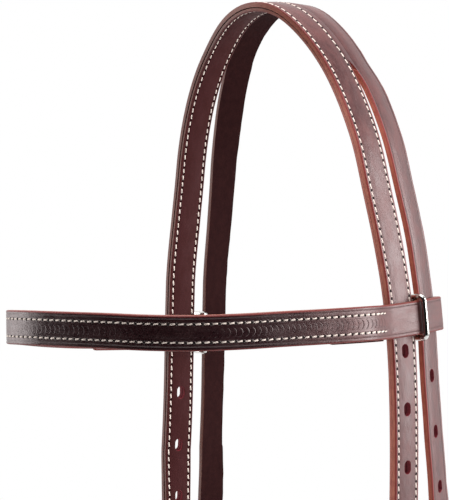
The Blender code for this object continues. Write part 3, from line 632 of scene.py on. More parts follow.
def linked(name, data):
    ob = bpy.data.objects.new(name, data)
    bpy.context.collection.objects.link(ob)
    return ob


def finished(ob):
    """The object's own shape after its modifiers or its bevel."""
    bpy.context.view_layer.update()
    bm = bmesh.new()
    bm.from_mesh(ob.evaluated_get(bpy.context.evaluated_depsgraph_get()).to_mesh())
    return bm


def oblong(length, width, grow=0):
    """An oblong hole's outline about its middle, with round ends."""
    angles = [pi * index / (HOLE_SIDES - 1) - pi / 2 for index in range(HOLE_SIDES)]
    shift = (length - width) / 2
    radius = width / 2 + grow
    end = [(shift + radius * cos(a), radius * sin(a)) for a in angles]
    return end + [(-at, -across) for at, across in end]


def punch(bm, holes, face):
    """Punch the (at, across, length, width) holes, their rims worn round at the face."""
    cutter = bmesh.new()
    way = 1 if face > 0 else -1
    flare = HOLE_FLARE * HOLE_WORN
    for at, across, length, width in holes:
        ring = [(at + a, across + b, -way * STRAP_WIDTH) for a, b in oblong(length, width)]
        cap = first = cutter.faces.new([cutter.verts.new(point) for point in ring])
        for level, grow in ((face - way * HOLE_WORN, 0), (face + way * HOLE_WORN / 4, flare),
                            (way * STRAP_WIDTH, flare)):
            grown = bmesh.ops.extrude_face_region(cutter, geom=[cap])["geom"]
            if cap is not first:
                bmesh.ops.delete(cutter, geom=[cap], context="FACES_ONLY")
            cap = next(item for item in grown if isinstance(item, bmesh.types.BMFace))
            ring = [(at + a, across + b, level) for a, b in oblong(length, width, grow)]
            for vert in cap.verts:
                vert.co = min(ring, key=lambda point: (point[0] - vert.co.x) ** 2
                              + (point[1] - vert.co.y) ** 2)
    bmesh.ops.recalc_face_normals(cutter, faces=cutter.faces)
    for wall in cutter.faces:
        wall.material_index = HOLE
    pieces = []
    for shape in (bm, cutter):
        mesh = mesh_of(shape, "blank")
        for _ in range(HOLE + 1):
            mesh.materials.append(None)
        pieces.append(linked("blank", mesh))
    cut = pieces[0].modifiers.new("punch", "BOOLEAN")
    cut.operation = "DIFFERENCE"
    cut.solver = "EXACT"
    cut.object = pieces[1]
    punched = finished(pieces[0])
    for piece in pieces:
        bpy.data.objects.remove(piece, do_unlink=True)
    return punched


def sort_faces(bm, face, grain_at_face=True):
    """Give the outer face, the inner face and the edges their own materials."""
    bm.normal_update()
    for side in bm.faces:
        if abs(side.normal.z) < LEVEL:
            side.material_index = EDGE
            continue
        outer = side.normal.z * face > 0
        side.material_index = GRAIN if outer == grain_at_face else FLESH


def grooved(across, grooves):
    """Depth of the (across, depth, half width) grooves at each distance across."""
    depth = np.zeros(len(across))
    for middle, deep, half_wide in grooves:
        depth = np.maximum(depth, deep * np.clip(1 - np.abs(across - middle) / half_wide, 0, 1))
    return depth


def groove_columns(grooves):
    return [middle + shift * half_wide for middle, _, half_wide in grooves
            for shift in (-1, 0, 1)]


def groove_pair(at, depth, half_width=GROOVE_HALF_WIDTH, middle=0.0):
    """Two like grooves, one on each side of the middle."""
    return [(middle + side * at, depth, half_width) for side in (-1, 1)]


def rippled(first, second, waves):
    """Smooth noise over two directions, by its waves to the metre in both and its seed."""
    return noise.noise(Vector((first * waves[0], second * waves[1], waves[2])))


def worn(flat, rough_edge=0.0):
    """A little unevenness along a strap, and a ragged rim where its edge is left rough."""
    for row in flat:
        row[2] += WEAR_HEIGHT * rippled(row[0], row[1], WEAR_WAVES)
        if rough_edge and row[1] > 3 * HALF - RAGGED_REACH:
            row[1] += rough_edge * rippled(row[0], row[2], RAGGED_WAVES)
    return flat


def pressed(face, grooves, more=None, rough_edge=0.0):
    """A relief that presses grooves, and more dips, into the face and wears the strap."""
    way = 1 if face > 0 else -1

    def relief(flat):
        dips = grooved(flat[:, 1], grooves)
        if more is not None:
            dips = dips + more(flat[:, 0], flat[:, 1])
        on_face = way * flat[:, 2] > way * face - FACE_REACH
        flat[:, 2] -= way * np.where(on_face, dips, 0)
        return worn(flat, rough_edge)

    return relief


def bend(bm, place, relief=None):
    """Work the relief into the flat blank, lay it along its route, and keep its flat place."""
    bmesh.ops.triangulate(bm, faces=bm.faces)
    flat = np.array([vert.co[:] for vert in bm.verts])
    shaped = flat if relief is None else relief(flat.copy())
    layer = bm.verts.layers.float_vector.new("flat")
    for vert, mark, point in zip(bm.verts, flat, place(*shaped.T)):
        vert[layer] = mark
        vert.co = point
    return bm


def show(name, bm, materials, body, replaced=None, slot=None, sharp=40):
    """Make the object from the mesh, tie it to its body, and hide the part that it replaces."""
    bmesh.ops.recalc_face_normals(bm, faces=bm.faces)
    mesh = mesh_of(bm, name)
    mesh.shade_smooth()
    mesh.set_sharp_from_angle(angle=radians(sharp))
    for material in materials:
        mesh.materials.append(material)
    ob = linked(name, mesh)
    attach(ob, body)
    if replaced is not None:
        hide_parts(replaced)
    if slot is not None or replaced is not None:
        slot or replaced


# Materials

PEBBLE_DEPTH = 0.00016
WRINKLE_DEPTH = 0.0006
FIBRE_DEPTH = 0.0002
LONG_FIBRE_DEPTH = 0.00025
TWIST_DEPTH = 0.00012
POLISH_DEPTH = 0.00003
STAMP_BUMP = 0.0002
AWL_BUMP = 0.0004
AWL_HOLE = (0.00042, 0.00080)
CREASE_LINE = (0.00010, 0.00042)
STAMP_LINE = (0.00008, 0.00032)
STAMP_RADIUS_SHARE = 1.08
STAMP_FADE = 0.0003
TOOLING_FADES_FROM = 0.105
TOOLING_FADE = 0.040
# Painted shade over the browband's middle: where along the band, from its start, the darkening
# comes in and goes out.
MIDDLE_SHADE_COMES = (0.062, 0.112)
MIDDLE_SHADE_GOES = (0.225, 0.275)
# Painted light and shade on the crown's edges: where along the strap, and by what share, their
# colour is scaled from darker on the off side to paler on the near side.
EDGE_LIGHT_ALONG = (-0.06, 0.11)
EDGE_LIGHT_SHARES = (0.52, 1.7)
EDGE_DYED_FROM = 0.0008
EDGE_DYED_TO = 0.0003
# Painted shade in the awl holes between the stitches.
AWL_SHADE_COLOUR = (0.004, 0.001, 0.001, 1)
GRAIN_TINT = (1.0, 0.83, 0.82, 1)


def shaded(colour, red, green=None, blue=None):
    """The colour with its parts scaled, all alike where only one share is given."""
    shares = (red, green or red, blue or red)
    return (*(part * share for part, share in zip(colour, shares)), 1)


class Tree:
    """A node tree, with short ways to add to it."""

    def __init__(self, tree):
        self.tree = tree

    def add(self, kind, inputs=(), **settings):
        node = self.tree.nodes.new(kind)
        for key, value in settings.items():
            setattr(node, key, value)
        for key, value in dict(inputs).items():
            self.feed(node.inputs[key], value)
        return node

    def feed(self, socket, value):
        if isinstance(value, bpy.types.NodeSocket):
            self.tree.links.new(value, socket)
        else:
            socket.default_value = value

    def maths(self, operation, first, second=0.0):
        return self.add("ShaderNodeMath", {0: first, 1: second}, operation=operation).outputs[0]

    def times(self, first, second):
        return self.maths("MULTIPLY", first, second)

    def apart(self, first, second):
        return self.maths("ABSOLUTE", self.maths("SUBTRACT", first, second))

    def within(self, value, first, last):
        """1 where the value lies between the two ends, and 0 elsewhere."""
        return self.times(self.maths("GREATER_THAN", value, first),
                          self.maths("LESS_THAN", value, last))

    def off_middle(self, place, pitch):
        """The distance from the middle between two marks of a row."""
        turn = self.maths("FRACT", self.maths("DIVIDE", place, pitch))
        return self.times(self.apart(turn, 0.5), pitch)

    def parts(self, vector):
        return self.add("ShaderNodeSeparateXYZ", {"Vector": vector}).outputs[:3]

    def mix(self, share, first, second):
        node = self.add("ShaderNodeMix", data_type="RGBA")
        for index, value in ((0, share), (6, first), (7, second)):
            self.feed(node.inputs[index], value)
        return node.outputs[2]

    def ramp(self, value, low, high, to_low=0.0, to_high=1.0):
        node = self.add("ShaderNodeMapRange", {"Value": value, "From Min": low, "From Max": high,
                                               "To Min": to_low, "To Max": to_high},
                        interpolation_type="SMOOTHSTEP")
        return node.outputs[0]

    def noise(self, place, scale, detail=3.0, roughness=0.6):
        node = self.add("ShaderNodeTexNoise", {"Vector": place, "Scale": scale,
                                               "Detail": detail, "Roughness": roughness})
        return node.outputs[0]

    def cells(self, place, scale, feature="F1"):
        node = self.add("ShaderNodeTexVoronoi", {"Vector": place, "Scale": scale},
                        feature=feature)
        return node.outputs["Distance"]

    def stretched(self, place, along, across=1.0):
        node = self.add("ShaderNodeMapping", {"Vector": place, "Scale": (along, across, across)})
        return node.outputs[0]

    def bump(self, height, strength, distance, normal=None):
        inputs = {"Height": height, "Strength": strength, "Distance": distance}
        if normal is not None:
            inputs["Normal"] = normal
        return self.add("ShaderNodeBump", inputs).outputs[0]


class Nodes(Tree):
    """A material's node tree and its shader."""

    def __init__(self, name):
        self.material = bpy.data.materials.new(name)
        self.material.use_nodes = True
        super().__init__(self.material.node_tree)
        self.shader = self.tree.nodes["Principled BSDF"]

    def flat_place(self):
        node = self.add("ShaderNodeAttribute", attribute_type="GEOMETRY", attribute_name="flat")
        return node.outputs["Vector"]

    def object_place(self):
        return self.add("ShaderNodeTexCoord").outputs["Object"]

    def finish(self, colour, roughness, normal=None, specular=0.5, metallic=0.0):
        """Feed the shader, and hand back the material."""
        sockets = {"Base Color": colour, "Roughness": roughness, "Metallic": metallic,
                   "Specular IOR Level": specular}
        if normal is not None:
            sockets["Normal"] = normal
        for key, value in sockets.items():
            self.feed(self.shader.inputs[key], value)
        return self.material


def thread_holes(nodes, flat, pitch, row_at, first, last, start=0.0):
    """1 in the awl holes between the stitches of the rows on both sides, and 0 elsewhere."""
    along, across, _ = nodes.parts(flat)
    from_hole = nodes.off_middle(nodes.maths("SUBTRACT", along, start), pitch)
    from_row = nodes.apart(nodes.maths("ABSOLUTE", across), row_at)
    reach = nodes.maths("SQRT", nodes.maths("ADD", nodes.maths("POWER", from_hole, 2.0),
                                            nodes.maths("POWER", from_row, 2.0)))
    return nodes.times(nodes.ramp(reach, *AWL_HOLE, 1.0, 0.0), nodes.within(along, first, last))


def stamped_crescents(nodes, flat, start, first, last):
    """Up to 1 on the browband's stamped lines, less where they fade, and 0 elsewhere."""
    settings = bpy.context.scene.headstall_tooling
    along, across, _ = nodes.parts(flat)
    inside = nodes.within(along, first, last)
    along = nodes.maths("SUBTRACT", along, start)
    across = nodes.maths("ABSOLUTE", across)
    half_high = settings.height / 2
    radius = STAMP_RADIUS_SHARE * half_high
    chord = nodes.maths("SQRT", nodes.maths("MAXIMUM", nodes.maths(
        "SUBTRACT", radius ** 2, nodes.maths("POWER", across, 2.0)), 0.0))
    from_line = nodes.off_middle(nodes.maths("ADD", nodes.maths("SUBTRACT", along, nodes.maths(
        "SUBTRACT", radius, chord)), settings.pitch / 2), settings.pitch)
    line = nodes.ramp(from_line, *STAMP_LINE, 1.0, 0.0)
    for share in (nodes.ramp(across, half_high - STAMP_FADE, half_high, 1.0, 0.0),
                  nodes.ramp(along, TOOLING_FADES_FROM, TOOLING_FADES_FROM + TOOLING_FADE,
                             1.0, settings.faded), inside):
        line = nodes.times(line, share)
    return line


def creased_lines(nodes, flat, creases):
    """1 on the creased lines at the given places across, and 0 elsewhere."""
    across = nodes.parts(flat)[1]
    gaps = [nodes.apart(across, place) for place in creases]
    nearest = gaps[0]
    for gap in gaps[1:]:
        nearest = nodes.maths("MINIMUM", nearest, gap)
    return nodes.ramp(nearest, *CREASE_LINE, 1.0, 0.0)


def grain_leather(name, rows=None, plain=False, stamped=None, creases=()):
    """Smooth waxed grain: fine pebbling, pores, soft dye patches, and painted shade in the awl
    holes, along the creased and stamped lines, and over the browband's middle.
    """
    settings = bpy.context.scene.headstall_leather
    stitches = bpy.context.scene.headstall_stitches
    nodes = Nodes(name)
    flat = nodes.flat_place()
    patches = nodes.noise(nodes.stretched(flat, along=0.5), scale=190.0, detail=4.0)
    streaks = nodes.noise(nodes.stretched(flat, along=0.12), scale=900.0)
    pebbles = nodes.cells(flat, scale=2600.0)
    pores = nodes.cells(nodes.stretched(flat, along=0.6), scale=1500.0)
    deep, pale = tuple(settings.grain_deep), tuple(settings.lining if plain else settings.grain)
    colour = nodes.mix(nodes.ramp(patches, 0.30, 0.72), deep, pale)
    colour = nodes.mix(nodes.ramp(streaks, 0.50, 0.75, 0.0, 0.35), colour, pale)
    colour = nodes.mix(nodes.ramp(pores, 0.02, 0.20, 0.55, 0.0), colour, deep)
    height = nodes.maths("ADD", nodes.times(pebbles, 0.5),
                         nodes.times(nodes.noise(flat, scale=1500.0, detail=4.0), 0.8))
    wrinkles = nodes.cells(nodes.stretched(flat, along=0.45), scale=420.0, feature="SMOOTH_F1")
    normal = nodes.bump(height, strength=0.45, distance=PEBBLE_DEPTH)
    normal = nodes.bump(wrinkles, strength=0.22, distance=WRINKLE_DEPTH, normal=normal)
    middling = settings.gloss + (0.16 if plain else 0.0)
    rough = nodes.ramp(patches, 0.25, 0.75, middling - 0.05, middling + 0.08)
    if creases:
        line = nodes.times(creased_lines(nodes, flat, creases), 0.7 if stamped is None else 0.3)
        # Painted shade along the creased lines.
        colour = nodes.mix(line, colour, shaded(deep, 0.5))
        rough = nodes.maths("MAXIMUM", rough, line)
    if stamped is not None:
        line = stamped_crescents(nodes, flat, *stamped)
        along = nodes.maths("SUBTRACT", nodes.parts(flat)[0], stamped[0])
        # Painted shade over the browband's middle: the colour is darkened there, and the
        # roughness is lowered.
        middle_shade = nodes.times(nodes.ramp(along, *MIDDLE_SHADE_COMES), nodes.ramp(along, *MIDDLE_SHADE_GOES, 1.0, 0.0))
        colour = nodes.mix(nodes.times(middle_shade, 0.8), colour, shaded(deep, 0.2, 0.2, 0.35))
        rough = nodes.maths("SUBTRACT", rough, nodes.times(middle_shade, 0.12))
        # Painted shade in the stamped crescent lines.
        colour = nodes.mix(nodes.times(line, 0.6), colour, shaded(deep, 0.4))
        normal = nodes.bump(nodes.times(line, -1.0), strength=0.8, distance=STAMP_BUMP,
                            normal=normal)
        rough = nodes.maths("MAXIMUM", rough, nodes.times(line, 0.7))
    if rows is not None:
        hole = thread_holes(nodes, flat, stitches.pitch, *rows)
        # Painted shade in the awl holes: their colour is darkened nearly to black.
        colour = nodes.mix(nodes.times(hole, 0.6 if plain else 1.0), colour, AWL_SHADE_COLOUR)
        normal = nodes.bump(nodes.times(hole, -1.0), strength=1.0, distance=AWL_BUMP,
                            normal=normal)
        rough = nodes.maths("MAXIMUM", rough, hole)
    nodes.shader.inputs["Specular Tint"].default_value = GRAIN_TINT
    return nodes.finish(colour, rough, normal, specular=0.08 if plain else 0.8)


def flesh_leather(name):
    """The rough flesh side: short fibres, soft patches and no polish."""
    settings = bpy.context.scene.headstall_leather
    nodes = Nodes(name)
    flat = nodes.flat_place()
    fibres = nodes.noise(nodes.stretched(flat, along=0.35), scale=2400.0, detail=5.0,
                         roughness=0.65)
    patches = nodes.noise(flat, scale=260.0, detail=4.0)
    flesh = tuple(settings.flesh)
    colour = nodes.mix(nodes.ramp(patches, 0.3, 0.7), shaded(flesh, 0.75, 0.7, 0.75), flesh)
    colour = nodes.mix(nodes.ramp(fibres, 0.50, 0.85, 0.0, 0.6), colour,
                       shaded(flesh, 1.5, 1.6, 1.6))
    normal = nodes.bump(fibres, strength=0.6, distance=LONG_FIBRE_DEPTH)
    return nodes.finish(colour, 0.82, normal, specular=0.05)


def hole_leather(name):
    """Walls of the punched holes, cut clean and stained red."""
    settings = bpy.context.scene.headstall_leather
    nodes = Nodes(name)
    fibres = nodes.noise(nodes.object_place(), scale=2200.0, detail=4.0)
    hole = tuple(settings.hole)
    colour = nodes.mix(nodes.ramp(fibres, 0.35, 0.75), shaded(hole, 0.6), hole)
    normal = nodes.bump(fibres, strength=0.4, distance=FIBRE_DEPTH)
    return nodes.finish(colour, 0.75, normal, specular=0.15)


def edge_leather(name, low, high, near_side_lit=False):
    """Dressed edges: pale cut fibre in the middle, with deeper dye where they round over.

    Where asked, painted light and shade are laid on the edges: paler towards the near side,
    darker towards the off side."""
    settings = bpy.context.scene.headstall_leather
    nodes = Nodes(name)
    flat = nodes.flat_place()
    along, _, out = nodes.parts(flat)
    fibres = nodes.noise(nodes.stretched(flat, along=0.15), scale=1700.0, detail=5.0,
                         roughness=0.65)
    patches = nodes.noise(flat, scale=320.0)
    edge = tuple(settings.edge)
    deep = shaded(edge, 0.55, 0.30, 0.40)
    colour = nodes.mix(nodes.ramp(fibres, 0.35, 0.7), shaded(edge, 0.75, 0.7, 0.7), edge)
    colour = nodes.mix(nodes.ramp(patches, 0.45, 0.75, 0.0, 0.45), colour, deep)
    outer = max(abs(low), abs(high))
    rim = nodes.ramp(nodes.maths("ABSOLUTE", out), outer - EDGE_DYED_FROM,
                     outer - EDGE_DYED_TO)
    colour = nodes.mix(rim, colour, deep)
    # Painted light and shade: the edge colour is scaled paler towards the near side and darker
    # towards the off side.
    if near_side_lit:
        side_light_share = nodes.ramp(along, *EDGE_LIGHT_ALONG, *EDGE_LIGHT_SHARES)
        colour = nodes.add("ShaderNodeVectorMath", {"Vector": colour, "Scale": side_light_share},
                           operation="SCALE").outputs[0]
    normal = nodes.bump(fibres, strength=0.4, distance=FIBRE_DEPTH)
    return nodes.finish(colour, 0.46, normal, specular=0.25)


def waxed_thread(name):
    """Pale twisted thread, with patches of dirt and painted shade in the grooves of its lay."""
    settings = bpy.context.scene.headstall_stitches
    nodes = Nodes(name)
    flat = nodes.flat_place()
    thread = tuple(settings.thread)
    dirt_and_lay_shade = shaded(thread, 0.62, 0.50, 0.44)
    twist = nodes.add("ShaderNodeTexWave", {
        "Vector": nodes.add("ShaderNodeMapping", {
            "Vector": flat, "Rotation": (0, 0, radians(38))}).outputs[0],
        "Scale": 420.0, "Distortion": 0.6, "Detail": 1.0}, bands_direction="X").outputs[1]
    dirt = nodes.noise(flat, scale=420.0)
    colour = nodes.mix(nodes.ramp(dirt, 0.50, 0.80, 0.0, 0.6), thread, dirt_and_lay_shade)
    # Painted shade in the grooves of the twist's lay.
    colour = nodes.mix(nodes.ramp(twist, 0.0, 0.35, 0.35, 0.0), colour, dirt_and_lay_shade)
    return nodes.finish(colour, 0.62, nodes.bump(twist, strength=0.4, distance=TWIST_DEPTH))


def polished_steel(name):
    """Bright steel with fine polishing lines and faint handling marks."""
    settings = bpy.context.scene.headstall_metal
    nodes = Nodes(name)
    place = nodes.object_place()
    lines = nodes.noise(nodes.stretched(place, along=1.0, across=0.1), scale=5200.0, detail=4.0,
                        roughness=0.7)
    marks = nodes.noise(place, scale=420.0, detail=4.0)
    steel = tuple(settings.steel)
    colour = nodes.mix(nodes.ramp(marks, 0.4, 0.7, 0.0, 0.3), steel,
                       shaded(steel, 0.8, 0.78, 0.76))
    rough = nodes.ramp(nodes.maths("ADD", nodes.times(lines, 0.5), nodes.times(marks, 0.5)),
                       0.3, 0.75, 0.13, 0.30)
    normal = nodes.bump(lines, strength=0.10, distance=POLISH_DEPTH)
    return nodes.finish(colour, rough, normal, metallic=1.0)


# The last flag lays painted light and shade on the edges, paler on the near side and darker on
# the off side.
def leather_set(name, low, high, rows=None, plain=False, stamped=None, creases=(),
                near_side_lit=False):
    return [grain_leather(name + " grain", rows, plain, stamped, creases),
            flesh_leather(name + " flesh"), edge_leather(name + " edge", low, high, near_side_lit),
            hole_leather(name + " hole")]


def make_lining(name, route, first, last, thickness, row_at, depth, step, body):
    """A plain lining between two places of a route, with a groove under each stitch row."""
    ease = LINING_EASE_SHARE * bpy.context.scene.headstall_leather.edge_ease
    low = -PLY - thickness
    rows = groove_pair(row_at, depth)
    bm = strip(first, last, HALF - LINING_INSET, low, -PLY, ease)
    score(bm, spaced(first, last, step)[1:-1], groove_columns(rows))
    sort_faces(bm, -1)
    bend(bm, route.place, pressed(low, rows))
    show(name + "_lining_leather", bm,
         leather_set(name + " lining", low, -PLY, (row_at, first, last), True),
         body, name + "_lining")


# Crown

CREASE_INSET = 0.0021
CREASE_DEPTH = 0.0002
CREASE_HALF_WIDTH = 0.00035
SEAM_DEPTH = 0.00030
SEAM_HALF_WIDTH = 0.0008
LONG_STEP = 1.4 * ROW_STEP


def billet_holes(side, first, across):
    return [(side * (first + index * HOLE_PITCH), across, HOLE_LENGTH, HOLE_WIDTH)
            for index in range(HOLE_COUNT)]


def billet_end(first_hole):
    return first_hole + (HOLE_COUNT - 1) * HOLE_PITCH + TIP_BEYOND_LAST_HOLE


def fold_slot(at, radius, across):
    return at, across, 2 * (radius * pi / 2 + SLOT_BEYOND_BAR), SLOT_WIDTH


def crown_grooves(depth):
    """Stitch grooves of the front half, and creased lines near the rear half's edges."""
    return (groove_pair(CROWN_ROW_AT, depth),
            groove_pair(HALF - CREASE_INSET, CREASE_DEPTH, CREASE_HALF_WIDTH, 2 * HALF))


def make_crown():
    leather = bpy.context.scene.headstall_leather
    groove = bpy.context.scene.headstall_stitches.groove
    start = layout.throat_line.along[0]
    half = HALF - SLIT / 4
    slit_front, slit_rear = HALF - SLIT / 2, HALF + SLIT / 2
    outline = [(SPLIT, HALF), (SPLIT + NOTCH, slit_front)]
    outline += tip(billet_end(NEAR_FIRST_HOLE), -SLIT / 4, half, NEAR)
    outline += reversed(tip(-billet_end(OFF_FIRST_HOLE), -SLIT / 4, half, OFF))
    outline += [(-SPLIT - NOTCH, slit_front), (-SPLIT, HALF), (-SPLIT - NOTCH, slit_rear)]
    outline += [(start, slit_rear), (start, 3 * HALF)]
    outline += tip(billet_end(THROAT_FIRST_HOLE), 2 * HALF + SLIT / 4, half, NEAR)
    outline += [(SPLIT + NOTCH, slit_rear)]
    face = PLY + CROWN_LEATHER
    bm = blank(outline, PLY, face, leather.edge_ease, ((SPLIT, HALF), (-SPLIT, HALF)))
    throat, line = layout.throat, layout.throat_line
    fold = line.nearest(throat.place(-throat.radius, -HALF, 0), 0, 0.5)
    stations = spaced(-THROAT_LEAVES, billet_end(THROAT_FIRST_HOLE), ROW_STEP)
    stations += spaced(start, -THROAT_LEAVES, LONG_STEP)[1:]
    stations += fold_stations(fold, throat.radius, FOLD_MERGE)
    rows, creases = crown_grooves(groove)
    score(bm, stations, [HALF, 0, 2 * HALF] + groove_columns(rows + creases))
    sort_faces(bm, 1)
    bm = punch(bm, billet_holes(NEAR, NEAR_FIRST_HOLE, 0)
               + billet_holes(OFF, OFF_FIRST_HOLE, 0)
               + billet_holes(NEAR, THROAT_FIRST_HOLE, 2 * HALF)
               + [fold_slot(fold, throat.radius, 2 * HALF)], face)

    def seam(along, across):
        depth = SEAM_DEPTH * np.clip(1 - np.abs(across - HALF) / SEAM_HALF_WIDTH, 0, 1)
        return np.where(np.abs(along) < SPLIT + NOTCH, depth, 0)

    bend(bm, layout.place_crown, pressed(face, rows + creases, seam, RAGGED_EDGE))
    ends = (-billet_end(OFF_FIRST_HOLE) + TIP_LENGTH, billet_end(NEAR_FIRST_HOLE) - TIP_LENGTH)
    show("crown_leather", bm, leather_set("crown", PLY, face, (CROWN_ROW_AT, *ends),
                                          creases=[middle for middle, _, _ in creases],
                                          near_side_lit=True),
         "straps", "crown")


def make_crown_lining():
    leather = bpy.context.scene.headstall_leather
    groove = bpy.context.scene.headstall_stitches.groove
    near_end = billet_end(NEAR_FIRST_HOLE) - LINING_INSET
    off_end = -billet_end(OFF_FIRST_HOLE) + LINING_INSET
    outline = tip(near_end, 0, HALF - LINING_INSET, NEAR)
    outline += reversed(tip(off_end, 0, HALF - LINING_INSET, OFF))
    face = -PLY - CROWN_LINING
    bm = blank(outline, face, -PLY, LINING_EASE_SHARE * leather.edge_ease)
    rows, _ = crown_grooves(groove)
    score(bm, spaced(off_end, near_end, ROW_STEP)[1:-1], [0] + groove_columns(rows))
    sort_faces(bm, -1)
    bm = punch(bm, billet_holes(NEAR, NEAR_FIRST_HOLE, 0)
               + billet_holes(OFF, OFF_FIRST_HOLE, 0), face)
    bend(bm, layout.front.place, pressed(face, rows))
    ends = (off_end + TIP_LENGTH, near_end - TIP_LENGTH)
    show("crown_lining_leather", bm,
         leather_set("crown lining", face, -PLY, (CROWN_ROW_AT, *ends), True, near_side_lit=True),
         "straps", "crown_lining")


class MakeCrown(bpy.types.Operator):
    """Cut, groove and punch the crown and its lining, and bend them over the poll"""
    bl_idname = "headstall.make_crown"
    bl_label = "Crown"

    def execute(self, context):
        make_crown()
        make_crown_lining()
        return {"FINISHED"}


# Browband

BAND_ROWS_FROM = 0.0464
BAND_ROWS_TO_OFF_TAIL = 0.0350
BAND_CREASE_INSET = 0.0017
BAND_CREASE_DEPTH = 0.00015
BAND_CREASE_HALF_WIDTH = 0.0003
STAMP_HALF_WIDTH = 0.00024
STAMP_END_SOFT = 0.0005
STAMP_LINE_SHARE = 0.5
STAMP_SLOPE_SHARE = 0.25
BORDER_SHARE = 0.35
BORDER_HALF_WIDTH = 0.00020
STAMPED_MARGIN = 0.0007
STAMPED_STEP = 0.00036
STAMPED_BEYOND = 0.004
STAMPED_CUTS = 9


def band_row_ends():
    band = layout.band
    return BAND_ROWS_FROM, band.off_tail - BAND_ROWS_TO_OFF_TAIL


def tooled(along, across, settings):
    """Depth of the stamped crescents at each place of the browband's face."""
    half_high = settings.height / 2
    radius = STAMP_RADIUS_SHARE * half_high
    bulge = radius - np.sqrt(np.clip(radius ** 2 - across ** 2, 0, None))
    phase = np.mod((along - bulge) / settings.pitch, 1)
    from_line = np.minimum(phase, 1 - phase) * settings.pitch
    line = STAMP_LINE_SHARE * np.exp(-(from_line / STAMP_HALF_WIDTH) ** 2)
    slope = STAMP_SLOPE_SHARE * (1 - phase)
    beyond = np.abs(across) - half_high
    fade = eased((beyond + STAMP_FADE) / STAMP_END_SOFT) * (np.abs(across) < radius)
    border = BORDER_SHARE * np.exp(-((beyond - STAMP_FADE) / BORDER_HALF_WIDTH) ** 2)
    kept = settings.faded + (1 - settings.faded) * eased(
        (along - TOOLING_FADES_FROM) / TOOLING_FADE)
    return settings.depth * kept * (np.maximum(line, slope) * fade + border)


def make_browband():
    leather = bpy.context.scene.headstall_leather
    tooling = bpy.context.scene.headstall_tooling
    groove = bpy.context.scene.headstall_stitches.groove
    band = layout.band
    face = PLY + BAND_LEATHER
    bm = strip(0, band.route.length, HALF, PLY, face, leather.edge_ease)
    stations = spaced(0, band.route.length, ROW_STEP)[1:-1]
    for fold in band.folds:
        stations += fold_stations(fold, BAND_FOLD, FOLD_REACH)
    rows = groove_pair(BAND_ROW_AT, groove)
    creases = groove_pair(HALF - BAND_CREASE_INSET, BAND_CREASE_DEPTH, BAND_CREASE_HALF_WIDTH)
    first, last = (end + band.start for end in band_row_ends())
    tooled_half = tooling.height / 2 + STAMPED_MARGIN
    columns = spaced(-tooled_half, tooled_half, STAMPED_STEP)
    score(bm, stations, columns + groove_columns(rows + creases))
    stamped = [edge for edge in bm.edges
               if all(vert.co.z > face - PLY and abs(vert.co.y) < tooled_half + PLY / 10
                      and first - STAMPED_BEYOND < vert.co.x < last + STAMPED_BEYOND
                      for vert in edge.verts)
               and abs(edge.verts[0].co.y - edge.verts[1].co.y) < PLY / 10]
    bmesh.ops.subdivide_edges(bm, edges=stamped, cuts=STAMPED_CUTS, use_grid_fill=True)
    sort_faces(bm, 1)

    def stamp(along, across):
        run = (along > first) & (along < last)
        return run * (grooved(across, rows) + tooled(along - band.start, across, tooling))

    bend(bm, band.route.place, pressed(face, creases, stamp))
    show("browband_leather", bm,
         leather_set("browband", PLY, face, (BAND_ROW_AT, first, last, band.start),
                     stamped=(band.start, first, last),
                     creases=[middle for middle, _, _ in creases]),
         "browband", "browband")


class MakeBrowband(bpy.types.Operator):
    """Stamp the browband and fold it round the tails, and lay its lining"""
    bl_idname = "headstall.make_browband"
    bl_label = "Browband"

    def execute(self, context):
        make_browband()
        band = layout.band
        make_lining("browband", band.main, band.near_tail + BAND_RETURN + PLY_GAP,
                    band.off_tail - BAND_RETURN - PLY_GAP, BAND_LEATHER, BAND_ROW_AT,
                    LINING_GROOVE, ROW_STEP, "browband")
        return {"FINISHED"}


# Cheek pieces

CHEEK_ROWS_END = 0.003


def cheek_marks(buckling):
    """A cheek piece's route, and the middles of its top fold and of its bit fold."""
    route = cheek_route(buckling)
    top = route.nearest(buckling.place(-buckling.radius, 0, 0))
    bit = route.nearest(buckling.place(CHEEK_LENGTH + BIT_ROOM, 0, 0))
    return route, top, bit


def down_cheek(buckling, marks, downs):
    """Places along a cheek piece's outer run, by their distances below its bar."""
    route, top, bit = marks
    return [route.nearest(buckling.place(down, 0, 0), top / route.length, bit / route.length)
            for down in downs]


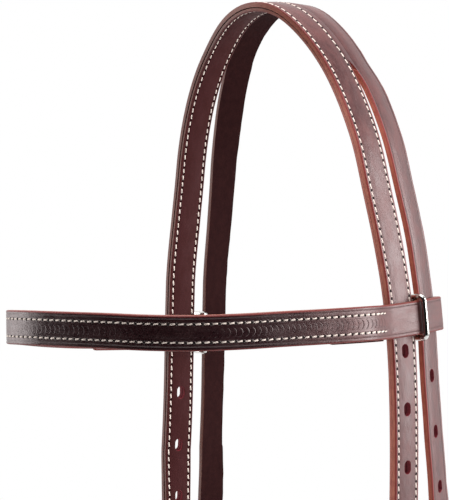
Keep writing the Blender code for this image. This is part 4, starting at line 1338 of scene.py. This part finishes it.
def make_cheek(name, buckling):
    leather = bpy.context.scene.headstall_leather
    groove = bpy.context.scene.headstall_stitches.groove
    marks = route, top, bit = cheek_marks(buckling)
    hole = (2 * SCREW_HOLE_RADIUS + PLY_GAP, 2 * SCREW_HOLE_RADIUS)
    holes = [fold_slot(top, buckling.radius, 0)]
    for above in (UPPER_SCREW_ABOVE_BIT, LOWER_SCREW_ABOVE_BIT):
        spot = buckling.place(CHEEK_LENGTH - above, 0, 0)
        holes.append((route.nearest(spot, 0, bit / route.length), 0, *hole))
        holes.append((route.nearest(spot, bit / route.length, 1), 0, *hole))
    face = PLY + CHEEK_LEATHER
    rows = groove_pair(CROWN_ROW_AT, groove)
    bm = strip(0, route.length, HALF, PLY, face, leather.edge_ease)
    score(bm, spaced(0, route.length, LONG_STEP)[1:-1]
          + fold_stations(top, buckling.radius, FOLD_MERGE)
          + fold_stations(bit, BIT_ROOM, FOLD_REACH), groove_columns(rows))
    sort_faces(bm, 1)
    bm = punch(bm, holes, face)
    bend(bm, route.place, pressed(face, rows))
    ends = (CHEEK_ROWS_END, route.length - CHEEK_ROWS_END)
    show(name + "_leather", bm, leather_set(name, PLY, face, (CROWN_ROW_AT, *ends)),
         "straps", name)
    first, last = down_cheek(buckling, marks, (
        CHEEK_TOP_RETURN + PLY_GAP, CHEEK_LENGTH - CHEEK_BIT_RETURN - PLY_GAP))
    make_lining(name, route, first, last, CHEEK_LEATHER, CROWN_ROW_AT, groove, 2 * ROW_STEP,
                "straps")


class MakeCheeks(bpy.types.Operator):
    """Fold both cheek pieces over their buckles and round the bit, with their linings"""
    bl_idname = "headstall.make_cheeks"
    bl_label = "Cheek Pieces"

    def execute(self, context):
        for name in ("near_cheek", "off_cheek"):
            make_cheek(name, layout.bucklings[name])
        return {"FINISHED"}


# Keepers and metal

KEEPER_EASE = 0.0005
KEEPER_STEP = 0.0007
KEEPER_SIDES = 10
WIRE_MERGE = 0.000002
LATHE_MERGE = 0.000005
EYE_STEPS = 28
TONGUE_TIP_REACHES = (0, 0.0009, 0.0026, 0.0042)
HEAD_RIM = 0.0001
DOME_STEPS = 9
DOME_EDGE_SHARE = 0.3
SOCKET_RADIUS = 0.0016
SOCKET_RIM = 0.0018
SOCKET_FLOOR = 0.0008
SOCKET_TOP = 0.00105


def make_keeper(name, buckling, down, body):
    """A leather keeper, bent from a strip whose ends meet behind the strap."""
    low = -PLY - buckling.strap - KEEPER_ROOM - KEEPER_LEATHER / 2
    high = buckling.face + KEEPER_ROOM + KEEPER_LEATHER / 2
    middle = buckling.place(down, 0, (low + high) / 2)
    out, side = buckling.way(0, 0, 1), buckling.way(0, 1, 0)
    around = ring_points((high - low) / 2, HALF + KEEPER_ROOM + KEEPER_LEATHER / 2,
                         KEEPER_CORNER, KEEPER_CORNER, KEEPER_SIDES)
    behind = next(i for i, (a, b) in enumerate(around) if a < 0 and b < 0)
    around = around[behind:] + around[:behind]
    start = (around[0][0], 0.0)
    points = [start] + around + [start]
    fine = [points[0]]
    for a, b in zip(points, points[1:]):
        count = max(int(np.hypot(b[0] - a[0], b[1] - a[1]) / TABLE_STEP), 1)
        fine += [(a[0] + (b[0] - a[0]) * k / count, a[1] + (b[1] - a[1]) * k / count)
                 for k in range(1, count + 1)]
    line = np.array([middle + a * out + b * side for a, b in fine])
    route = Route(line, np.tile(np.cross(out, side), (len(line), 1)))
    flip = np.sign(np.dot(route.read(route.out, route.length / 2), out))
    half = KEEPER_LEATHER / 2
    bm = strip(0, route.length, KEEPER_WIDTH / 2, -half, half, KEEPER_EASE)
    for vert in bm.verts:
        vert.co.z *= flip
    score(bm, spaced(0, route.length, KEEPER_STEP)[1:-1],
          [share * KEEPER_WIDTH for share in (-0.3, 0.3, 0)])
    sort_faces(bm, flip)
    bend(bm, route.place)
    show(name + "_leather", bm, leather_set(name.replace("_", " "), -half, half),
         body, name)


class MakeKeepers(bpy.types.Operator):
    """Bend the fixed and sliding keepers round the straps"""
    bl_idname = "headstall.make_keepers"
    bl_label = "Keepers"

    def execute(self, context):
        for name, buckling in layout.bucklings.items():
            make_keeper(name + "_fixed_keeper", buckling, FIXED_KEEPER_AT, "straps")
            make_keeper(name + "_sliding_keeper", buckling, SLIDING_KEEPER_AT,
                        name + "_sliding_keeper")
        return {"FINISHED"}


def wire(name, points, radius, closed, body, shares=None):
    """A bent wire through the points, closed or capped, thinned by the shares if given."""
    curve = bpy.data.curves.new(name, "CURVE")
    curve.dimensions = "3D"
    curve.bevel_depth = radius
    curve.bevel_resolution = WIRE_SIDES
    curve.use_fill_caps = True
    line = curve.splines.new("POLY")
    line.points.add(len(points) - 1)
    line.use_cyclic_u = closed
    for index, point in enumerate(points):
        line.points[index].co = (*point, 1)
        if shares is not None:
            line.points[index].radius = shares[index]
    drawn = linked(name, curve)
    bm = finished(drawn)
    bpy.data.objects.remove(drawn, do_unlink=True)
    bmesh.ops.remove_doubles(bm, verts=bm.verts, dist=WIRE_MERGE)
    show(name + "_steel", bm, [polished_steel(name)], body, name, sharp=60)


def make_loop(name, at, body):
    band, tails = layout.band, layout.tails
    gap = read(TAIL_GAP, at)
    spot = tails.place(at, -gap / 2, 0)
    along = band.main.nearest(spot, *((0, 0.5) if at > 0 else (0.5, 1)))
    top = PLY + BAND_LEATHER + LOOP_ROOM + LOOP_WIRE / 2
    half_deep = top + BAND_UNDER / 2
    half_wide = HALF + LOOP_ROOM + LOOP_WIRE / 2
    middle = band.main.place(along, 0, top - half_deep)
    down = band.main.read(band.main.across, along)
    out = band.main.read(band.main.out, along)
    points = [middle + a * down + b * out
              for a, b in ring_points(half_wide, half_deep, LOOP_CORNER, LOOP_CORNER)]
    wire(name, points, LOOP_WIRE / 2, True, body)


def make_buckle(name, buckling, body):
    run = np.hypot(FRAME_RUN, buckling.front_bar)
    tilt = buckling.way(-FRAME_RUN / run, 0, buckling.front_bar / run)
    side = buckling.way(0, 1, 0)
    middle = buckling.place(-FRAME_RUN / 2, 0, buckling.front_bar / 2)
    points = [middle + a * tilt + b * side for a, b in ring_points(
        run / 2, HALF + FRAME_ROOM + BAR_RADIUS, FRAME_FRONT_CORNER, FRAME_HEEL_CORNER)]
    wire(name, points, BAR_RADIUS, True, body)


def make_tongue(name, buckling, body):
    radius = BAR_RADIUS + TONGUE_RADIUS + CLEARANCE
    turn = np.radians(np.linspace(EYE_TURN, 0, EYE_STEPS))[:-1]
    eye = np.stack([radius * np.sin(turn), radius * np.cos(turn)], 1)
    half = (buckling.face - buckling.back) / 2
    middle = buckling.back + half
    rest = buckling.front_bar + BAR_RADIUS + TONGUE_RADIUS + CLEARANCE
    lean = TONGUE_LEAN * half
    points = [
        (0, radius), (-0.6 * TONGUE_AT_HOLE, radius),
        (-TONGUE_AT_HOLE + 1.5 * lean, buckling.back - TONGUE_RADIUS),
        (-TONGUE_AT_HOLE, middle), (-TONGUE_AT_HOLE - lean, buckling.face),
        (-TONGUE_AT_HOLE - 2.6 * lean, rest - 2.2 * TONGUE_RADIUS),
        (-0.8 * FRAME_RUN, rest - TONGUE_RADIUS / 3), (-FRAME_RUN, rest),
        (-FRAME_RUN - TONGUE_OVERHANG, rest - TONGUE_RADIUS / 2)]
    shank = through([(down, 0, out) for down, out in points])[:, ::2]
    line = np.concatenate([eye, shank[:-1:2], shank[-1:]])
    reach = measured(line)
    left = reach[-1] - reach
    shares = np.interp(left, TONGUE_TIP_REACHES, TONGUE_TIP_SHARES[::-1])
    wire(name, [buckling.place(down, 0, out) for down, out in line], TONGUE_RADIUS, False,
         body, shares)


class MakeMetal(bpy.types.Operator):
    """Bend the browband's loops, the buckle frames and their tongues"""
    bl_idname = "headstall.make_metal"
    bl_label = "Loops and Buckles"

    def execute(self, context):
        make_loop("near_browband_loop", NEAR_BAND_AT, "near_loop")
        make_loop("off_browband_loop", -OFF_BAND_AT, "off_loop")
        for name, buckling in layout.bucklings.items():
            make_buckle(name + "_buckle", buckling, name + "_buckle")
            make_tongue(name + "_tongue", buckling, name + "_tongue")
        return {"FINISHED"}


def lathe(profile, spot, out):
    """Turn the (radius, height) profile about the out direction at the spot."""
    side = unit(np.cross(out, [0, 0, 1.0]))
    bm = bmesh.new()
    verts = [bm.verts.new(spot + radius * side + height * out) for radius, height in profile]
    edges = [bm.edges.new(pair) for pair in zip(verts, verts[1:])]
    bmesh.ops.spin(bm, geom=verts + edges, cent=spot, axis=out, angle=2 * pi,
                   steps=LATHE_SIDES, use_merge=True)
    bmesh.ops.remove_doubles(bm, verts=bm.verts, dist=LATHE_MERGE)
    return bm


def make_screws(name, buckling, above):
    spot = buckling.place(CHEEK_LENGTH - above, 0, 0)
    out = buckling.way(0, 0, 1)
    face = PLY + CHEEK_LEATHER
    seat = face + CLEARANCE
    shoulder, crest = DOME_EDGE_SHARE * HEAD_HEIGHT, (1 - DOME_EDGE_SHARE) * HEAD_HEIGHT
    dome = [(HEAD_RADIUS * sin(a), seat + shoulder + crest * cos(a))
            for a in np.linspace(0, pi / 2, DOME_STEPS)]
    head = dome + [(HEAD_RADIUS, seat + HEAD_RIM), (HEAD_RADIUS - HEAD_RIM, seat)]
    socket = [(0, seat + SOCKET_FLOOR), (SOCKET_RADIUS, seat + SOCKET_FLOOR),
              (SOCKET_RIM, seat + SOCKET_TOP)]
    post = head + [(POST_RADIUS, seat), (POST_RADIUS, -face), (POST_BORE, -face),
                   (POST_BORE, seat - POST_FLOOR), (0, seat - POST_FLOOR)]
    end = seat - POST_FLOOR - 2 * CLEARANCE
    screw = socket + [point for point in head if point[0] > SOCKET_RIM + HEAD_RIM] + [
        (SHANK_RADIUS, seat), (SHANK_RADIUS, -end), (0, -end)]
    for kind, profile, way in (("_post", post, out), ("_screw", screw, -out)):
        show(name + kind + "_steel", lathe(profile, spot, way), [polished_steel(name + kind)],
             "straps", name + kind)


class MakeScrews(bpy.types.Operator):
    """Turn the posts and screws of the bit ends"""
    bl_idname = "headstall.make_screws"
    bl_label = "Bit-End Screws"

    def execute(self, context):
        for name in ("near_cheek", "off_cheek"):
            for level, above in (("upper", UPPER_SCREW_ABOVE_BIT),
                                 ("lower", LOWER_SCREW_ABOVE_BIT)):
                make_screws(name + "_" + level, layout.bucklings[name], above)
        return {"FINISHED"}


# Stitching

STITCH_SUNK = 0.42
STITCH_BOWED = 0.55
STITCH_WANDER = 0.00006
STITCH_WAVES = (300, 300, 1.3)
SLANT_WANDER = 0.35
STITCH_SIDES, STITCH_RINGS = 8, 5
LOOK_AHEAD = 0.0004
TIP_ROW_INSET = 0.0021
BACKSTITCHES = 3.1
BACKSTITCH_LEAN = 0.0003
BAND_LINING_ROWS_IN = 0.002
CHEEK_LINING_ROWS_IN = 0.001
CHEEK_ROWS_FROM = 0.009
CHEEK_ROWS_TO_BIT = 0.018
RETURN_ROWS_TO_BAR = 0.011
RETURN_ROWS_FROM_BIT = 0.030


def stitch_template(settings):
    """One stitch: a short, straight roll with round ends."""
    bm = bmesh.new()
    bmesh.ops.create_uvsphere(bm, u_segments=STITCH_SIDES, v_segments=STITCH_RINGS, radius=1)
    bmesh.ops.rotate(bm, verts=bm.verts, cent=(0, 0, 0), matrix=Matrix.Rotation(pi / 2, 3, "Y"))
    straight = settings.length / 2 - settings.width / 2
    for vert in bm.verts:
        x, y, z = vert.co
        vert.co = (x * settings.width / 2 + (straight if x > 0 else -straight),
                   y * settings.width / 2, z * settings.width / 2)
    return mesh_of(bm, "stitch")


def stitch_spots(path, pitch):
    """The place and the turn of each stitch on a path of (along, across) points."""
    path = np.asarray(path, float)
    if path[0][1] == path[-1][1]:
        low, high = sorted((path[0][0], path[-1][0]))
        return [(number * pitch, path[0][1], 0.0)
                for number in np.arange(np.ceil(low / pitch), high / pitch)]
    reach = measured(path)
    count = int(reach[-1] / pitch)
    spots = []
    for number in range(1, count):
        spot = reach[-1] * number / count
        at, across = (np.interp(spot, reach, column) for column in path.T)
        ahead, aside = (np.interp(spot + LOOK_AHEAD, reach, column) for column in path.T)
        spots.append((at, across, np.arctan2(aside - across, ahead - at)))
    return spots


def stitched(name, runs, body, slot):
    """Lay stitches, bowed so that their ends sink, on each run's (place, level, path)."""
    settings = bpy.context.scene.headstall_stitches
    template = stitch_template(settings)
    bm = bmesh.new()
    places = []
    sunk = settings.groove + STITCH_SUNK * settings.width
    for place, level, path in runs:
        first = len(bm.verts)
        way = 1 if level > 0 else -1
        height = level - way * sunk + way * settings.width / 2
        for at, across, angle in stitch_spots(path, settings.pitch):
            begin = len(bm.verts)
            bm.from_mesh(template)
            bm.verts.ensure_lookup_table()
            wobble = rippled(at, across, STITCH_WAVES)
            slant = settings.slant * way * (1 + SLANT_WANDER * wobble)
            turn = Matrix.Rotation(angle + slant, 3, "Z")
            centre = Vector((at, across + STITCH_WANDER * wobble, height))
            for vert in bm.verts[begin:]:
                co = Vector(vert.co)
                co.z -= way * STITCH_BOWED * settings.width * (co.x / (settings.length / 2)) ** 2
                vert.co = turn @ co + centre
        places.append((first, len(bm.verts), place))
    layer = bm.verts.layers.float_vector.new("flat")
    bm.verts.ensure_lookup_table()
    for first, last, place in places:
        part = bm.verts[first:last]
        flat = np.array([vert.co[:] for vert in part])
        for vert, mark, point in zip(part, flat, place(*flat.T)):
            vert[layer] = mark
            vert.co = point
    bpy.data.meshes.remove(template)
    show(name, bm, [waxed_thread(name.replace("_", " "))], body, slot=slot, sharp=80)


def tip_path(end, way):
    """The stitch path round a billet's point."""
    base, reach = end - way * TIP_LENGTH, way * (TIP_LENGTH - TIP_ROW_INSET)
    rear = [(base + reach * a, CROWN_ROW_AT * b) for a, b in TIP_SHARES]
    return rear + [(at, -across) for at, across in reversed(rear[:-1])]


def row_pair(first, last, at):
    return [[(first, -at), (last, -at)], [(first, at), (last, at)]]


def stitch_crown():
    near_end, off_end = billet_end(NEAR_FIRST_HOLE), -billet_end(OFF_FIRST_HOLE)
    paths = row_pair(off_end + TIP_LENGTH, near_end - TIP_LENGTH, CROWN_ROW_AT)
    paths += [tip_path(near_end, NEAR), tip_path(off_end, OFF)]
    for name, level, slot in (("crown_outer_stitches", PLY + CROWN_LEATHER, "crown"),
                              ("crown_lining_stitches", -PLY - CROWN_LINING, "crown_lining")):
        stitched(name, [(layout.front.place, level, path) for path in paths], "straps", slot)


def stitch_browband(pitch):
    """Two rows on each face, and a short run sewn back over both at the near end."""
    band, face = layout.band, PLY + BAND_LEATHER
    first, last = band_row_ends()
    outer = row_pair(first, last, BAND_ROW_AT)
    outer += [[(first, side * BAND_ROW_AT - BACKSTITCH_LEAN),
               (first + BACKSTITCHES * pitch, side * BAND_ROW_AT + BACKSTITCH_LEAN)]
              for side in (-1, 1)]
    inner = row_pair(band.near_tail + BAND_RETURN + BAND_LINING_ROWS_IN,
                     band.off_tail - BAND_RETURN - BAND_LINING_ROWS_IN, BAND_ROW_AT)
    runs = [(band.main.place, face, path) for path in outer]
    runs += [(band.main.place, -face, path) for path in inner]
    stitched("browband_stitches", runs, "browband", "browband")


def stitch_cheek(name):
    """Rows down the outer face, up both returns, and on the lining."""
    buckling = layout.bucklings[name]
    marks = route, top, bit = cheek_marks(buckling)
    face = PLY + CHEEK_LEATHER
    first, inner_first, inner_last, last = down_cheek(buckling, marks, (
        CHEEK_ROWS_FROM, CHEEK_TOP_RETURN + CHEEK_LINING_ROWS_IN,
        CHEEK_LENGTH - CHEEK_BIT_RETURN - CHEEK_LINING_ROWS_IN,
        CHEEK_LENGTH - CHEEK_ROWS_TO_BIT))
    spans = ((face, first, last), (face, CHEEK_ROWS_END, top - RETURN_ROWS_TO_BAR),
             (face, bit + RETURN_ROWS_FROM_BIT, route.length - CHEEK_ROWS_END),
             (-face, inner_first, inner_last))
    runs = [(route.place, level, path) for level, start, end in spans
            for path in row_pair(start, end, CROWN_ROW_AT)]
    stitched(name + "_stitches", runs, "straps", name)


class MakeStitching(bpy.types.Operator):
    """Stitch the crown, the browband and the cheek pieces"""
    bl_idname = "headstall.make_stitching"
    bl_label = "Stitching"

    def execute(self, context):
        stitch_crown()
        stitch_browband(context.scene.headstall_stitches.pitch)
        for name in ("near_cheek", "off_cheek"):
            stitch_cheek(name)
        return {"FINISHED"}


# Stage

CAMERA_AT = (0.75778, -0.66845, 0.01135)
CAMERA_AZIMUTH = 50.014
CAMERA_ELEVATION = 5.811
CAMERA_ROLL = -0.051
CAMERA_SHIFT = (-0.0106, -0.1097)
FLOOR_BELOW = 0.012
FLOOR_RADIUS = 0.75
FLOOR_SIDES = 96
AIM = (0.02, -0.03, -0.2)
LAMPS = (
    ("right softbox", (1.25, 0.08, 0.30), 0.14, (0.75, 1.05), 22),
    ("left softbox", (-1.12, -0.42, 0.15), 0, (0.5, 1.5), 9),
    ("top softbox", (-0.08, 0.14, 1.25), 0, (1.0, 1.0), 24))
GLOSS_FACING = (-0.85, 0.1)
GLOSS_STRENGTH = (1.3, 0.01)


def area_light(name, at, towards, size, power):
    light = bpy.data.lights.new(name, "AREA")
    light.shape = "RECTANGLE"
    light.size, light.size_y = size
    light.energy = power
    ob = linked(name, light)
    ob.location = at
    ob.rotation_euler = (towards - at).to_track_quat("-Z", "Y").to_euler()
    ob.visible_camera = False


def make_lamps(right, to_camera):
    """Softboxes at their distances right of the aim, towards the camera and up."""
    up = Vector((0, 0, 1))
    for name, (aside, ahead, above), raised, size, power in LAMPS:
        at = Vector(AIM) + aside * right + ahead * to_camera + above * up
        area_light(name, at, Vector(AIM) + raised * up, size, power)


def make_world(fill, to_camera):
    """White to the camera, a soft fill on the object, and a darker side for gloss."""
    world = bpy.data.worlds.new("studio")
    bpy.context.scene.world = world
    world.use_nodes = True
    nodes = Tree(world.node_tree)
    nodes.tree.nodes.clear()
    rays = nodes.add("ShaderNodeLightPath").outputs
    around = nodes.add("ShaderNodeTexCoord").outputs["Generated"]
    facing = nodes.add("ShaderNodeVectorMath", {0: around, 1: to_camera},
                       operation="DOT_PRODUCT").outputs["Value"]
    gloss = nodes.ramp(facing, *GLOSS_FACING, *GLOSS_STRENGTH)
    soft = nodes.add("ShaderNodeMix", {0: rays["Is Glossy Ray"], 2: fill, 3: gloss}).outputs[0]
    seen = nodes.maths("MAXIMUM", rays["Is Camera Ray"], rays["Is Transmission Ray"])
    strength = nodes.add("ShaderNodeMix", {0: seen, 2: soft, 3: 1.0}).outputs[0]
    white = nodes.add("ShaderNodeBackground", {"Color": (1, 1, 1, 1), "Strength": strength})
    nodes.add("ShaderNodeOutputWorld", {"Surface": white.outputs[0]})


def make_floor(colour):
    """A plain round floor, just below the headstall."""
    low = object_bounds()[0][2] - FLOOR_BELOW
    bm = bmesh.new()
    bmesh.ops.create_circle(bm, cap_ends=True, segments=FLOOR_SIDES, radius=FLOOR_RADIUS)
    bmesh.ops.translate(bm, verts=bm.verts, vec=(0, 0, low))
    mesh = mesh_of(bm, "floor")
    nodes = Nodes("floor")
    clouds = nodes.noise(nodes.object_place(), scale=9.0, roughness=0.5)
    tone = nodes.mix(nodes.ramp(clouds, 0.3, 0.7), colour, shaded(colour, 0.98))
    mesh.materials.append(nodes.finish(tone, 0.9))
    linked("floor", mesh)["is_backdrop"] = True


def make_camera(lens):
    camera = bpy.data.cameras.new("camera")
    camera.lens = lens
    camera.shift_x, camera.shift_y = CAMERA_SHIFT
    ob = linked("camera", camera)
    ob.location = CAMERA_AT
    turn = (Matrix.Rotation(radians(CAMERA_AZIMUTH), 3, "Z")
            @ Matrix.Rotation(pi / 2 - radians(CAMERA_ELEVATION), 3, "X")
            @ Matrix.Rotation(radians(CAMERA_ROLL), 3, "Z"))
    ob.rotation_euler = turn.to_euler()
    bpy.context.scene.camera = ob


class MakeStage(bpy.types.Operator):
    """Lay the floor and set the lamps, the world and the camera"""
    bl_idname = "headstall.make_stage"
    bl_label = "Stage"

    def execute(self, context):
        settings = context.scene.headstall_stage
        context.scene.view_settings.view_transform = "Standard"
        azimuth = radians(CAMERA_AZIMUTH)
        to_camera = Vector((sin(azimuth), -cos(azimuth), 0))
        make_world(settings.fill, to_camera)
        make_floor(tuple(settings.floor))
        make_lamps(Vector((cos(azimuth), sin(azimuth), 0)), to_camera)
        make_camera(settings.lens)
        return {"FINISHED"}


# Add-on

class HeadstallPanel(bpy.types.Panel):
    """Makes the headstall's pieces, and holds their sizes and colours"""
    bl_idname = "VIEW3D_PT_headstall"
    bl_label = "Headstall"
    bl_space_type = "VIEW_3D"
    bl_region_type = "UI"
    bl_category = "Headstall"

    def draw(self, context):
        for operator in OPERATORS:
            self.layout.operator(operator.bl_idname)
        for label, group in SETTINGS:
            box = self.layout.box()
            box.label(text=label)
            holder = getattr(context.scene, "headstall_" + label.lower())
            for key in group.__annotations__:
                box.prop(holder, key)


SETTINGS = (("Leather", LeatherSettings), ("Stitches", StitchSettings),
            ("Tooling", ToolingSettings), ("Metal", MetalSettings), ("Stage", StageSettings))
OPERATORS = (MakeCrown, MakeBrowband, MakeCheeks, MakeKeepers, MakeMetal, MakeScrews,
             MakeStitching, MakeStage)


def register():
    for label, group in SETTINGS:
        bpy.utils.register_class(group)
        setattr(bpy.types.Scene, "headstall_" + label.lower(),
                bpy.props.PointerProperty(type=group))
    for operator in OPERATORS:
        bpy.utils.register_class(operator)
    bpy.utils.register_class(HeadstallPanel)


def unregister():
    bpy.utils.unregister_class(HeadstallPanel)
    for operator in reversed(OPERATORS):
        bpy.utils.unregister_class(operator)
    for label, group in reversed(SETTINGS):
        delattr(bpy.types.Scene, "headstall_" + label.lower())
        bpy.utils.unregister_class(group)


def main():
    register()
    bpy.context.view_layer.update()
    bpy.ops.headstall.make_crown()
    bpy.ops.headstall.make_browband()
    bpy.ops.headstall.make_cheeks()
    bpy.ops.headstall.make_keepers()
    bpy.ops.headstall.make_metal()
    bpy.ops.headstall.make_screws()
    bpy.ops.headstall.make_stitching()
    bpy.ops.headstall.make_stage()
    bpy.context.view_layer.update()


if __name__ == "__main__":
    main()
